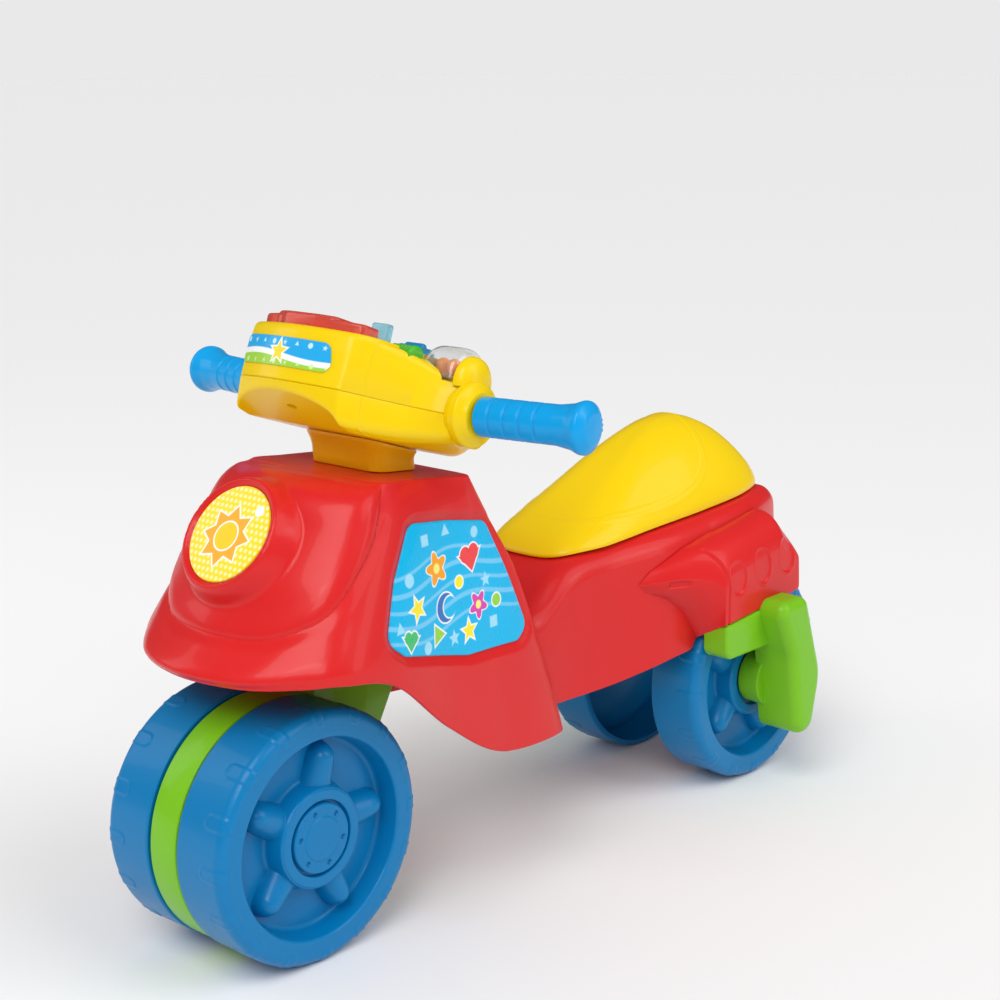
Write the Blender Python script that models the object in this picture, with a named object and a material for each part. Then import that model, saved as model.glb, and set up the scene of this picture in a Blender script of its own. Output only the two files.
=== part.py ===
"""Chunky foot-to-floor ride-on motorbike for a toddler, built as a jointed assembly.

Metres, +Z up. The toy faces -Y, its left side is +X. The origin lies on the floor,
halfway between the two axles, on the middle plane.
"""
import math

import bmesh
import bpy
from mathutils import Matrix, Vector

# General
GAP = 0.0003
SHELL = 0.003

# Wheels: a pair of halves at the front, two separate wheels at the rear
WHEEL_SIDES = 32
WHEEL_R = 0.0804
WHEEL_W = 0.040
WHEEL_EDGE = 0.006
WHEEL_WALL = 0.0032
RIM_R = 0.0615
DISH_DEPTH = 0.013
HUB_R = 0.0305
HUB_SINK = 0.002
CAP_R = 0.0215
CAP_T = 0.003
AXLE_R = 0.004
AXLE_FIT = 0.0003
HUB_TUBE_WALL = 0.0035
SPOKES = 5
SPOKE_WIDTH = 0.0225
SPOKE_PHASE = math.radians(12)
WHEELBASE = 0.426
FRONT_INNER_X = 0.0133
REAR_INNER_X = 0.032

AXLE_Z = WHEEL_R * math.cos(math.pi / WHEEL_SIDES)
FRONT_Y = -WHEELBASE / 2
REAR_Y = WHEELBASE / 2

# Front fairing: the deck's outline from the front axle, and the lower edge with its heights
DECK_Z = 0.2905
DECK_SLOPE = math.radians(5.4)
DECK_OUTLINE = (
    (0.0, 0.045), (0.030, 0.045), (0.057, 0.050), (0.0585, 0.073), (0.0595, 0.091),
    (0.0605, 0.106), (0.0615, 0.117), (0.057, 0.124), (0.030, 0.125), (0.0, 0.125),
)
SKIRT_OUTLINE = (
    (0.0, -0.057, 0.184), (0.043, -0.046, 0.184), (0.071, -0.027, 0.1855), (0.086, -0.009, 0.186),
    (0.088, 0.031, 0.176), (0.081, 0.082, 0.135), (0.077, 0.135, 0.1035), (0.070, 0.201, 0.097),
    (0.040, 0.207, 0.096), (0.0, 0.209, 0.096),
)
FRONT_PROFILE = ((0.0, 0.0), (0.31, 0.04), (0.46, 0.23), (0.66, 0.49), (0.84, 0.75), (1.05, 0.925),
                 (1.0, 1.0))
SIDE_PROFILE = ((0.0, 0.0), (0.24, 0.10), (0.43, 0.28), (0.60, 0.47), (0.77, 0.67), (1.0, 0.90), (1.0, 1.0))
REAR_PROFILE = ((0.0, 0.0), (0.11, 0.08), (0.29, 0.21), (0.49, 0.36), (0.64, 0.52), (0.86, 0.79), (1.0, 1.0))
FAIRING_COLUMNS = 28
FAIRING_ROWS = 9

# Headlight, set in a raised round bezel on the fairing's front
LAMP_DISC_R = 0.031
LAMP_DISC_T = 0.002
BEZEL_R = 0.040
BEZEL_BASE_R = 0.045
BEZEL_DEPTH = 0.020
HEADLIGHT_TILT = math.radians(35)
HEADLIGHT_Y = -0.019
HEADLIGHT_Z = 0.2633

# Side panels, outlined in the fairing's own surface coordinates
PANEL_OUTLINE = ((3.9, 1.62), (6.15, 1.55), (6.65, 4.15), (5.4, 4.1), (3.85, 4.6), (3.5, 3.2))
PANEL_CORNER = 0.22
PANEL_T = 0.0024

# Steering column, square to the deck
COLUMN_Y = 0.088
COLUMN_R = 0.012
COLUMN_FIT = 0.0004
COLUMN_TOP = 0.0065
SOCKET_DEPTH = 0.045
BUSH_WALL = 0.003
BUSH_LENGTH = 0.010
HEAD_TUBE_WALL = 0.003
HEAD_TUBE_LENGTH = 0.062
NECK_HALF_X = 0.029
NECK_HALF_Y = 0.0235
NECK_BACK = 0.0045
NECK_CORNER = 0.009
NECK_LIP = 0.002
NECK_LIP_T = 0.009

# Fork: a centre plate as tall as the wheels, between the two halves
FORK_T = 0.0236
FORK_CLEAR = 0.0015
FORK_REACH = 0.026

# Handlebar housing, in its own tilted frame
DASH_TILT = math.radians(18.5)
DASH_Y = 0.105
DASH_Z = 0.3248
DASH_FRONT = 0.0735
DASH_REAR = 0.026
DASH_BULGE = 0.013
DASH_HALF = 0.0505
ARM_HALF = 0.085
ARM_FRONT = 0.0165
ARM_REAR = 0.0195
DASH_BOTTOM = 0.0255
DASH_TOP = 0.032
ARM_TOP = 0.0195
DASH_EDGE = 0.004
DASH_CHIN = 0.012
CHIN_RUN = 0.012
CHIN_SLOPE = math.radians(27)
DASH_WALL = 0.0025

# Handlebar ends
BAR_R = 0.007
BAR_Y = -0.0086
GRIP_R = 0.012
GRIP_LENGTH = 0.0755
KNOB_R = 0.0158
KNOB_LENGTH = 0.019
GRIP_SWEEP = math.radians(8.2)
GRIP_RISE = math.radians(2.9)
COLLAR_R = 0.0200
COLLAR_T = 0.0115

# Dashboard features
LENS_HALF = 0.044
LENS_HEIGHT = 0.0085
LENS_FRONT = -0.0755
LENS_SIDE = -0.0665
LENS_REAR = -0.048
PAGE_SIZE = (0.014, 0.006, 0.019)
PAGE_POS = (0.020, -0.029)
BOARD_Z = 0.014
BOARD_T = 0.0016
DOOR_SIZE = (ARM_HALF - 0.031, -0.0205, -0.0035)
BATTERY_R = 0.007
BATTERY_START = 0.003
BATTERY_Y = DASH_REAR - DASH_WALL - BATTERY_R - GAP
BATTERY_Z = -0.0140
CHIN_HOLE_R = 0.0022
CHIN_HOLE_X = 0.004
CHIN_HOLE_POS = (-0.0705, -0.0180)
CHIN_HOLE_DEPTH = 0.010
SPEAKER_Y = -0.038
SPEAKER_R = 0.0125
GRILLE_Y = (-0.0485, -0.0395)
ROLLER_R = 0.0125
ROLLER_W = 0.016
ROLLER_POS = (0.033, -0.011)
ROLLER_SHOW = 0.006
SHAFT_R = 0.0015
SHAFT_OUT = 0.003
LUG_T = 0.0016
RIBBED_R = 0.0075
RIBBED_W = 0.020
RIBBED_POS = (0.048, -0.034)
RIBBED_Z = 0.0260
DOME_R = 0.0175
DOME_X = (ARM_HALF - 0.035, ARM_HALF - 0.004)
DOME_Y = -0.008
DOME_BASE = 0.0215
DOME_WALL = 0.0015
BEAD_R = 0.0040
BEAD_Z = 0.0265
HUMP_END = ARM_HALF + 0.0055
HUMP_R = 0.0155

# Rear body: offset from the rear axle, half width, lower edge and top; its front end sits in the fairing
BEAM_START = 0.164
BEAM_JOINT = 0.204
BODY_STATIONS = (
    (BEAM_START - WHEELBASE, 0.044, 0.116, 0.170), (BEAM_JOINT - WHEELBASE, 0.046, 0.106, 0.172),
    (-0.185, 0.047, 0.104, 0.197), (-0.145, 0.053, 0.106, 0.203), (-0.100, 0.064, 0.114, 0.2075),
    (-0.060, 0.068, 0.122, 0.211), (-0.010, 0.069, 0.150, 0.215), (0.035, 0.063, 0.162, 0.2185),
    (0.052, 0.054, 0.165, 0.210), (0.066, 0.040, 0.168, 0.1925), (0.074, 0.026, 0.170, 0.182),
)
BODY_CORNER = 0.014
ARCH_CLEAR = 0.005
RIB_T = 0.004
RIB_X = 0.0275
RIB_FRONT = (-0.100, 0.125, 0.2055)
RIB_REAR = (0.030, 0.150, 0.2160)
RIB_FOOT = 0.016
SEAT_OUTLINE = (
    (0.0, -0.186), (0.030, -0.180), (0.045, -0.150), (0.051, -0.100), (0.056, -0.050),
    (0.0565, -0.006), (0.047, 0.028), (0.026, 0.042), (0.0, 0.045),
)
SEAT_CROWN = 0.0585
SEAT_CROWN_Y = -0.030
SEAT_PROFILE = (
    (1.0, 0.0), (0.99, 0.10), (0.90, 0.30), (0.72, 0.56), (0.52, 0.78), (0.31, 0.93), (0.12, 1.0),
)
SEAT_NOSE_LOW = 0.6
SEAT_NOSE = (-0.17, -0.03)

# Engine covers over the rear wheels
POD_OUTER = 0.0947
POD_STEP = -0.0745
POD_BOTTOM = 0.139
POD_RISE = 0.085
POD_ROOT = ((-0.004, 0.209), (-0.107, 0.190), (-0.128, 0.174))
POD_SHOULDER = (0.015, 0.062)
POD_FACE = ((-0.004, 0.2085), (-0.064, 0.199), (-0.0745, 0.180))
POD_REAR = (0.026, 0.0195)
POD_REAR_Z = 0.186
COVER_SEAT = 0.0006

# Rear wheel brackets
BLOCK_DROP = 0.027
BRACKET_IN = 0.0745
BOSS_REACH = 0.006
TONGUE_X = (0.0745, 0.0785)
TONGUE_Y = (-0.055, -0.020)
LEG_IN = 0.080
LEG_OUT = 0.116
LEG_OUTLINE = (
    (-0.008, 0.042), (0.012, 0.042), (0.0225, 0.086), (0.001, 0.149), (-0.037, 0.149), (-0.016, 0.104),
    (-0.012, 0.070),
)
LEG_CORNERS = (0.012, 0.014, 0.040, 0.008, 0.006, 0.030, 0.020)
BLOCK_REAR = 0.010
BOSS_R = 0.021

RED = (0.80, 0.035, 0.035)
YELLOW = (0.90, 0.62, 0.01)
ORANGE = (0.90, 0.42, 0.02)
BLUE = (0.005, 0.16, 0.50)
SKY = (0.0, 0.36, 0.75)
GREEN = (0.20, 0.50, 0.03)
STEEL = (0.55, 0.55, 0.57)
DARK = (0.03, 0.03, 0.035)
BOARD = (0.02, 0.22, 0.08)
CLEAR = (0.85, 0.88, 0.90)


def clear_scene():
    for obj in list(bpy.data.objects):
        bpy.data.objects.remove(obj, do_unlink=True)


def make_material(name, colour, roughness, metallic=0.0, alpha=1.0):
    found = bpy.data.materials.get(name)
    if found:
        return found
    mat = bpy.data.materials.new(name)
    mat.use_nodes = True
    shader = mat.node_tree.nodes["Principled BSDF"]
    shader.inputs["Base Color"].default_value = (*colour, 1.0)
    shader.inputs["Roughness"].default_value = roughness
    shader.inputs["Metallic"].default_value = metallic
    shader.inputs["Alpha"].default_value = alpha
    return mat


def new_object(name, bm, look):
    """Turn a bmesh in world coordinates into a smooth-shaded object with its material."""
    bmesh.ops.remove_doubles(bm, verts=bm.verts, dist=1e-6)
    bmesh.ops.recalc_face_normals(bm, faces=bm.faces)
    mesh = bpy.data.meshes.new(name)
    bm.to_mesh(mesh)
    bm.free()
    if mesh.polygons:
        mesh.shade_smooth()
        mesh.set_sharp_from_angle(angle=math.radians(35))
    mesh.materials.append(make_material(name, *look))
    obj = bpy.data.objects.new(name, mesh)
    bpy.context.collection.objects.link(obj)
    return obj


def loft(rings, bm=None):
    """Skin a row of closed rings, with a face over each end."""
    bm = bm or bmesh.new()
    loops = [[bm.verts.new(p) for p in ring] for ring in rings]
    count = len(loops[0])
    for a, b in zip(loops, loops[1:]):
        for i in range(count):
            j = (i + 1) % count
            lean = (b[j].co - a[i].co).dot((a[j].co - a[i].co).cross(b[i].co - a[i].co).normalized())
            if abs(lean) < 1e-6:
                bm.faces.new((a[i], a[j], b[j], b[i]))
            else:
                bm.faces.new((a[i], a[j], b[j]))
                bm.faces.new((a[i], b[j], b[i]))
    bm.faces.new(list(reversed(loops[0])))
    bm.faces.new(loops[-1])
    return bm


def turned(profile, sides, phase=0.0, bm=None):
    """Turn a closed profile of (x, radius) points around the X axis."""
    bm = bm or bmesh.new()
    rings = []
    for i in range(sides):
        angle = phase + 2 * math.pi * i / sides
        rings.append([bm.verts.new((x, r * math.cos(angle), r * math.sin(angle))) for x, r in profile])
    count = len(profile)
    for i in range(sides):
        a, b = rings[i], rings[(i + 1) % sides]
        for k in range(count):
            m = (k + 1) % count
            bm.faces.new((a[k], a[m], b[m], b[k]))
    return bm


def spindle(profile, sides, phase=0.0, bm=None):
    """Turn an open profile of (x, radius) points around X and close both ends with a flat face."""
    bm = bm or bmesh.new()
    rings = []
    for x, r in profile:
        angles = (phase + 2 * math.pi * i / sides for i in range(sides))
        rings.append([(x, r * math.cos(t), r * math.sin(t)) for t in angles])
    return loft(rings, bm)


def rounded(corners, radii, steps=4):
    """A closed outline whose corners are rounded with circular arcs."""
    count = len(corners)
    if not isinstance(radii, (list, tuple)):
        radii = [radii] * count
    points = []
    for i in range(count):
        here = Vector(corners[i])
        back = (Vector(corners[i - 1]) - here)
        ahead = (Vector(corners[(i + 1) % count]) - here)
        half = back.angle(ahead) / 2
        reach = min(radii[i] / math.tan(half), 0.49 * back.length, 0.49 * ahead.length)
        radius = reach * math.tan(half)
        if radius < 1e-6:
            points.append(tuple(here))
            continue
        start = here + back.normalized() * reach
        end = here + ahead.normalized() * reach
        centre = here + (back.normalized() + ahead.normalized()).normalized() * (radius / math.sin(half))
        for k in range(steps + 1):
            spoke = (start - centre).lerp(end - centre, k / steps)
            points.append(tuple(centre + spoke.normalized() * radius))
    return points


def plate(outline, low, high, axis="X", bm=None):
    """Extrude an outline in the plane square to an axis, from low to high along it."""
    rings = []
    for level in (low, high):
        if axis == "X":
            rings.append([(level, a, b) for a, b in outline])
        elif axis == "Y":
            rings.append([(a, level, b) for a, b in outline])
        else:
            rings.append([(a, b, level) for a, b in outline])
    return loft(rings, bm)


def box(low, high, bm=None):
    outline = ((low[0], low[1]), (high[0], low[1]), (high[0], high[1]), (low[0], high[1]))
    return plate(outline, low[2], high[2], "Z", bm)


def moved(bm, matrix):
    bmesh.ops.transform(bm, matrix=matrix, verts=bm.verts)
    return bm


def mirrored(bm):
    bmesh.ops.scale(bm, vec=(-1, 1, 1), verts=bm.verts)
    bmesh.ops.reverse_faces(bm, faces=bm.faces)
    return bm


def soften(obj, width, segments=1):
    bevel = obj.modifiers.new("soft_edges", "BEVEL")
    bevel.width = width
    bevel.segments = segments
    bevel.limit_method = "ANGLE"
    bevel.angle_limit = math.radians(50)
    return obj


def combine(obj, tool_bm, operation, label):
    """Add or remove a shape with a Boolean, and keep the shape as a hidden guide."""
    tool = new_object(obj.name + "_" + label, tool_bm, (STEEL, 0.5))
    tool.hide_render = True
    tool.display_type = "WIRE"
    step = obj.modifiers.new(label, "BOOLEAN")
    step.operation = operation
    step.object = tool
    return obj


def cut(obj, tool_bm, label):
    return combine(obj, tool_bm, "DIFFERENCE", label)


def add(obj, tool_bm, label):
    return combine(obj, tool_bm, "UNION", label)


def over_middle(p):
    return Vector((-p[0], *p[1:]))


def spline(points, t, mirrored=False):
    """A smooth curve through points; t counts them. Mirrored ends cross the middle square."""
    last = len(points) - 1
    i = min(max(int(t), 0), last - 1)
    f = t - i
    p1, p2 = Vector(points[i]), Vector(points[i + 1])
    before = over_middle(p2) if mirrored else 2 * p1 - p2
    after = over_middle(p1) if mirrored else 2 * p2 - p1
    p0 = Vector(points[i - 1]) if i > 0 else before
    p3 = Vector(points[i + 2]) if i + 2 <= last else after
    m1, m2 = (p2 - p0) / 2, (p3 - p1) / 2
    f2, f3 = f * f, f * f * f
    return (2 * f3 - 3 * f2 + 1) * p1 + (f3 - 2 * f2 + f) * m1 + (3 * f2 - 2 * f3) * p2 + (f3 - f2) * m2


def ease(low, high, value):
    t = min(max((value - low) / (high - low), 0.0), 1.0)
    return t * t * (3 - 2 * t)


STEER_AXIS = Vector((0.0, math.sin(DECK_SLOPE), math.cos(DECK_SLOPE)))
STEER_BASE = Vector((0.0, FRONT_Y + COLUMN_Y,
                     DECK_Z - (COLUMN_Y - DECK_OUTLINE[0][1]) * math.tan(DECK_SLOPE)))
STEER_FRAME = Matrix.Translation(STEER_BASE) @ Matrix.Rotation(-DECK_SLOPE, 4, "X")
DASH_FRAME = Matrix.Translation((0.0, FRONT_Y + DASH_Y, DASH_Z)) @ Matrix.Rotation(-DASH_TILT, 4, "X")


def hand_over(obj, parent, origin=None):
    """Parent an object whose mesh is in world coordinates, with its origin on its own joint."""
    world = parent.matrix_world.copy() if parent else Matrix.Identity(4)
    basis = world.inverted() @ Matrix.Translation(origin) if origin is not None else Matrix.Identity(4)
    obj.data.transform((world @ basis).inverted())
    obj.parent = parent
    obj.matrix_basis = basis
    return obj


def steering_empty():
    pivot = bpy.data.objects.new("steering_pivot", None)
    pivot.matrix_basis = STEER_FRAME
    bpy.context.collection.objects.link(pivot)
    bpy.context.view_layer.update()
    return pivot


# Front fairing

def deck_height(y):
    return DECK_Z - (y - FRONT_Y - DECK_OUTLINE[0][1]) * math.tan(DECK_SLOPE)


def profile_at(u, v):
    """Blend the front, side and rear wall profiles around the fairing."""
    front, side, rear = (spline(p, v) for p in (FRONT_PROFILE, SIDE_PROFILE, REAR_PROFILE))
    to_side = ease(1.2, 3.2, u)
    to_rear = ease(4.6, 7.0, u)
    return front.lerp(side, to_side).lerp(rear, to_rear)


def fairing_point(u, v):
    """A point on the left half; u runs from the nose to the back, v from deck to lower edge."""
    top = spline(DECK_OUTLINE, u, True)
    low = spline(SKIRT_OUTLINE, u, True)
    top_z = deck_height(FRONT_Y + top.y)
    out, down = profile_at(u, v)
    plan = top + (low.xy - top) * out
    return Vector((plan.x, FRONT_Y + plan.y, top_z + (low.z - top_z) * down))


def around(half):
    """Close a left half outline into a full ring."""
    mirror = [Vector((-p[0], *p[1:])) for p in reversed(half[1:-1])]
    return [Vector(p) for p in half] + mirror


def inset_ring(ring, distance):
    """Move a ring inwards in plan."""
    count = len(ring)
    result = []
    for i, p in enumerate(ring):
        along = ring[(i + 1) % count] - ring[i - 1]
        inward = Vector((-along.y, along.x, 0)).normalized()
        result.append(p + inward * distance)
    return result


def fairing_rings(columns, rows):
    stations = len(DECK_OUTLINE) - 1
    bands = len(FRONT_PROFILE) - 1
    half = columns // 2
    rings = []
    for r in range(rows + 1):
        v = bands * r / rows
        rings.append(around([fairing_point(stations * i / half, v) for i in range(half + 1)]))
    return rings


def headlight_frame():
    centre = Vector((0.0, FRONT_Y + HEADLIGHT_Y, HEADLIGHT_Z))
    facing = Vector((0.0, -math.cos(HEADLIGHT_TILT), math.sin(HEADLIGHT_TILT)))
    turn = Vector((1.0, 0.0, 0.0)).rotation_difference(facing).to_matrix().to_4x4()
    return Matrix.Translation(centre) @ turn


def column_tool(low, high, radius, sides=20):
    """A solid cylinder on the steering axis."""
    bm = spindle(((low, radius), (high, radius)), sides)
    return moved(bm, STEER_FRAME @ Matrix.Rotation(-math.pi / 2, 4, "Y"))


def column_ring(low, high, inner, outer, sides=20):
    bm = turned(((low, inner), (low, outer), (high, outer), (high, inner)), sides)
    return moved(bm, STEER_FRAME @ Matrix.Rotation(-math.pi / 2, 4, "Y"))


def front_fairing():
    outer = fairing_rings(FAIRING_COLUMNS, FAIRING_ROWS)
    inner = []
    for r, ring in enumerate(outer):
        slant = SHELL * 1.35 if 0 < r < FAIRING_ROWS else SHELL * 1.15
        moved_in = inset_ring(ring, slant)
        if r == 0:
            moved_in = [p + Vector((0, 0, -SHELL)) for p in inset_ring(ring, SHELL * 3)]
        inner.append(moved_in)
    body = new_object("front_fairing", loft(outer + inner[::-1]), (RED, 0.3))
    bush_r = COLUMN_R + COLUMN_FIT + BUSH_WALL + GAP
    add(body, column_tool(-HEAD_TUBE_LENGTH, -0.0005, bush_r + HEAD_TUBE_WALL), "head_tube")
    bezel = spindle(((-BEZEL_DEPTH, BEZEL_BASE_R - 0.002), (-0.006, BEZEL_BASE_R - 0.001),
                     (-0.001, BEZEL_R + 0.002), (LAMP_DISC_T / 2, BEZEL_R - 0.001)), 28)
    add(body, moved(bezel, headlight_frame()), "bezel")
    recess = spindle(((-LAMP_DISC_T - GAP, LAMP_DISC_R + GAP), (0.01, LAMP_DISC_R + GAP)), 28)
    cut(body, moved(recess, headlight_frame()), "disc_recess")
    hollow = spindle(((-BEZEL_DEPTH - 0.01, BEZEL_R - SHELL * 2),
                      (-LAMP_DISC_T - SHELL * 1.5, BEZEL_R - SHELL * 2)), 28)
    cut(body, moved(hollow, headlight_frame()), "bezel_hollow")
    cut(body, column_tool(-HEAD_TUBE_LENGTH - 0.01, 0.01, bush_r), "column_bore")
    return body


def headlight_disc():
    bm = spindle(((-LAMP_DISC_T, LAMP_DISC_R), (-0.0004, LAMP_DISC_R), (0.0, LAMP_DISC_R - 0.0006)), 28)
    return new_object("headlight_disc", moved(bm, headlight_frame()), (YELLOW, 0.3))


def surface_normal(u, v, step=0.05):
    along = fairing_point(u + step, v) - fairing_point(u - step, v)
    down = fairing_point(u, v + step) - fairing_point(u, v - step)
    return along.cross(down).normalized()


def side_panel(name, side):
    """A thin plate that follows the fairing's side."""
    outline = rounded(PANEL_OUTLINE, PANEL_CORNER, 3)
    middle = sum((Vector(p) for p in outline), Vector((0.0, 0.0))) / len(outline)
    bm = bmesh.new()
    layers = []
    for lift in (-SHELL, PANEL_T):
        rings = []
        for share in (1.0, 0.5):
            ring = []
            for p in outline:
                u, v = middle.lerp(Vector(p), share)
                outward = surface_normal(u, v)
                outward = outward if outward.x > 0 else -outward
                ring.append(bm.verts.new(fairing_point(u, v) + outward * lift))
            rings.append(ring)
        outward = surface_normal(*middle)
        outward = outward if outward.x > 0 else -outward
        rings.append(bm.verts.new(fairing_point(*middle) + outward * lift))
        layers.append(rings)
    count = len(outline)
    for rings in layers:
        for i in range(count):
            j = (i + 1) % count
            bm.faces.new((rings[0][i], rings[0][j], rings[1][j], rings[1][i]))
            bm.faces.new((rings[1][i], rings[1][j], rings[2]))
    for i in range(count):
        j = (i + 1) % count
        bm.faces.new((layers[0][0][i], layers[0][0][j], layers[1][0][j], layers[1][0][i]))
    if side < 0:
        mirrored(bm)
    obj = new_object(name, bm, (SKY, 0.35))
    return cut(obj, grown_fairing(GAP), "fairing_seat")


def steering_bush(name, top):
    """A flanged plastic sleeve in one end of the head tube."""
    inner = COLUMN_R + COLUMN_FIT
    outer = inner + BUSH_WALL
    if top:
        low, high = -BUSH_LENGTH, -0.0005
    else:
        low, high = -HEAD_TUBE_LENGTH, -HEAD_TUBE_LENGTH + BUSH_LENGTH
    return new_object(name, column_ring(low, high, inner, outer), (DARK, 0.6))


# Wheels

def wheel_profile():
    """Closed wheel section as (distance from the inner face, radius)."""
    bore = AXLE_R + AXLE_FIT
    tube = bore + HUB_TUBE_WALL
    face = WHEEL_W
    floor = face - DISH_DEPTH
    hub = face - HUB_SINK
    seat = hub - CAP_T
    inner_r = WHEEL_R - WHEEL_WALL
    return (
        (0.0, WHEEL_R - 0.0015), (0.0015, WHEEL_R), (face - WHEEL_EDGE, WHEEL_R),
        (face - WHEEL_EDGE * 0.3, WHEEL_R - WHEEL_EDGE * 0.3), (face, WHEEL_R - WHEEL_EDGE),
        (face, RIM_R + 0.002), (face - 0.002, RIM_R), (floor, RIM_R - 0.003),
        (floor, HUB_R + 0.001), (hub, HUB_R - 0.001), (hub, CAP_R + GAP),
        (seat, CAP_R + GAP), (seat, bore), (0.0, bore), (0.0, tube),
        (floor - WHEEL_WALL, tube), (floor - WHEEL_WALL, RIM_R), (face - WHEEL_EDGE - WHEEL_WALL, inner_r),
        (0.0, inner_r),
    )


def spoke_tool():
    """Five bulging spokes from the hub to the rim."""
    bm = bmesh.new()
    floor = WHEEL_W - DISH_DEPTH
    rises = ((HUB_R - 0.006, 0.44, 0.75), (HUB_R + 0.008, 0.5, 0.85), (RIM_R - 0.012, 0.46, 0.8),
             (RIM_R - 0.005, 0.3, 0.55))
    for s in range(SPOKES):
        turn = Matrix.Rotation(2 * math.pi * s / SPOKES - SPOKE_PHASE, 4, "X")
        rings = []
        for radius, width, height in rises:
            ring = []
            for k in range(6):
                angle = math.pi * k / 5
                across = SPOKE_WIDTH * width * math.cos(angle)
                up = floor - 0.001 + (DISH_DEPTH * height) * math.sin(angle)
                ring.append(turn @ Vector((up, across, radius)))
            rings.append(ring)
        loft(rings, bm)
    return bm


def wheel(name, inner_x, y, side, parent=None):
    bm = turned(wheel_profile(), WHEEL_SIDES, math.pi / WHEEL_SIDES)
    place = Matrix.Translation((side * inner_x, y, AXLE_Z))
    body = new_object(name, moved(bm, Matrix.Identity(4)), (BLUE, 0.35))
    spokes = spoke_tool()
    if side < 0:
        body.data.transform(Matrix.Scale(-1, 4, (1, 0, 0)))
        body.data.flip_normals()
        mirrored(spokes)
    body.data.transform(place)
    add(body, moved(spokes, place), "spokes")
    hand_over(body, parent, Vector((side * inner_x, y, AXLE_Z)))
    return body


def hub_cap(name, side, wheel_obj):
    seat = FRONT_INNER_X + WHEEL_W - HUB_SINK - CAP_T
    bm = spindle(((seat + GAP, CAP_R), (seat + CAP_T - 0.0002, CAP_R),
                  (seat + CAP_T + 0.0006, CAP_R - 0.002)), 24)
    if side < 0:
        mirrored(bm)
    moved(bm, Matrix.Translation((0.0, FRONT_Y, AXLE_Z)))
    obj = new_object(name, bm, (BLUE, 0.35))
    return hand_over(obj, wheel_obj)


def axle(name, y, half_length, parent=None):
    bm = spindle(((-half_length, AXLE_R - 0.0008), (-half_length + 0.0008, AXLE_R),
                  (half_length - 0.0008, AXLE_R), (half_length, AXLE_R - 0.0008)), 14)
    moved(bm, Matrix.Translation((0.0, y, AXLE_Z)))
    obj = new_object(name, bm, (STEEL, 0.35, 1.0))
    return hand_over(obj, parent) if parent else obj


# Steering parts

def fork(parent):
    """Centre plate, arm and socket in one moulding."""
    radius = WHEEL_R - FORK_CLEAR
    column_low = STEER_BASE.y - STEER_AXIS.y / STEER_AXIS.z * (STEER_BASE.z - (AXLE_Z + WHEEL_R))
    top_z = STEER_BASE.z - HEAD_TUBE_LENGTH - 0.012
    outline = []
    start, stop = math.radians(52), math.radians(372)
    for k in range(26):
        angle = start + (stop - start) * k / 25
        outline.append((FRONT_Y + radius * math.cos(angle), AXLE_Z + radius * math.sin(angle)))
    rear = column_low + FORK_REACH
    outline += [(rear - 0.012, AXLE_Z + 0.040), (rear, AXLE_Z + 0.062), (rear - 0.002, AXLE_Z + 0.085),
                (column_low + 0.016, top_z), (column_low - 0.016, top_z), (column_low - 0.020,
                                                                           AXLE_Z + 0.095)]
    body = new_object("fork", plate(outline, -FORK_T / 2, FORK_T / 2), (GREEN, 0.35))
    socket_r = COLUMN_R + GAP + SHELL
    top = -(HEAD_TUBE_LENGTH + 0.001)
    add(body, column_tool(top - SOCKET_DEPTH - 0.010, top, socket_r + 0.001), "socket")
    cut(body, column_tool(top - SOCKET_DEPTH, top + 0.01, COLUMN_R + GAP), "column_socket")
    bore = spindle(((-FORK_T, AXLE_R + GAP), (FORK_T, AXLE_R + GAP)), 16)
    cut(body, moved(bore, Matrix.Translation((0.0, FRONT_Y, AXLE_Z))), "axle_bore")
    return hand_over(body, parent)


def steering_column(parent):
    top = -(HEAD_TUBE_LENGTH + 0.001)
    bm = column_ring(top - SOCKET_DEPTH + GAP, COLUMN_TOP, COLUMN_R - 0.0025, COLUMN_R, 20)
    return hand_over(new_object("steering_column", bm, (STEEL, 0.35, 1.0)), parent)


def dash_to_world(p):
    return DASH_FRAME @ Vector(p)


def neck(parent):
    """Rounded post between the deck and the handlebar housing."""
    outline = rounded(((-NECK_HALF_X, -NECK_HALF_Y), (NECK_HALF_X, -NECK_HALF_Y),
                       (NECK_HALF_X, NECK_HALF_Y), (-NECK_HALF_X, NECK_HALF_Y)), NECK_CORNER, 3)
    floor = -DASH_BOTTOM - GAP
    rings = [[STEER_FRAME @ Vector((x, y + NECK_BACK, GAP)) for x, y in outline]]
    centre = DASH_FRAME.inverted() @ (STEER_FRAME @ Vector((0.0, NECK_BACK, 0.03)))
    for level, grow in ((floor - NECK_LIP_T, 0.0), (floor - NECK_LIP_T + 0.002, NECK_LIP),
                        (floor, NECK_LIP)):
        ring = []
        for x, y in outline:
            scale_x, scale_y = 1 + grow / NECK_HALF_X, 1 + grow / NECK_HALF_Y
            ring.append(dash_to_world((x * scale_x, centre.y + y * scale_y, level)))
        rings.append(ring)
    body = new_object("neck", loft(rings), (ORANGE, 0.35))
    cut(body, column_tool(-0.01, COLUMN_TOP + GAP, COLUMN_R + GAP), "column_socket")
    return hand_over(body, parent)


def dash_front(x):
    """Front face of the housing: bulged in the middle, swept back along the arms."""
    x = abs(x)
    if x <= DASH_HALF:
        return -DASH_FRONT - DASH_BULGE * (1 - (x / DASH_HALF) ** 2)
    back = BAR_Y - ARM_FRONT
    share = (ARM_HALF - x) / (ARM_HALF - DASH_HALF)
    return back + (-DASH_FRONT - back) * share ** 2


def dash_rear(x):
    return DASH_REAR + (BAR_Y + ARM_REAR - DASH_REAR) * ease(DOOR_SIZE[0] + 0.002, ARM_HALF - 0.002, abs(x))


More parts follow.
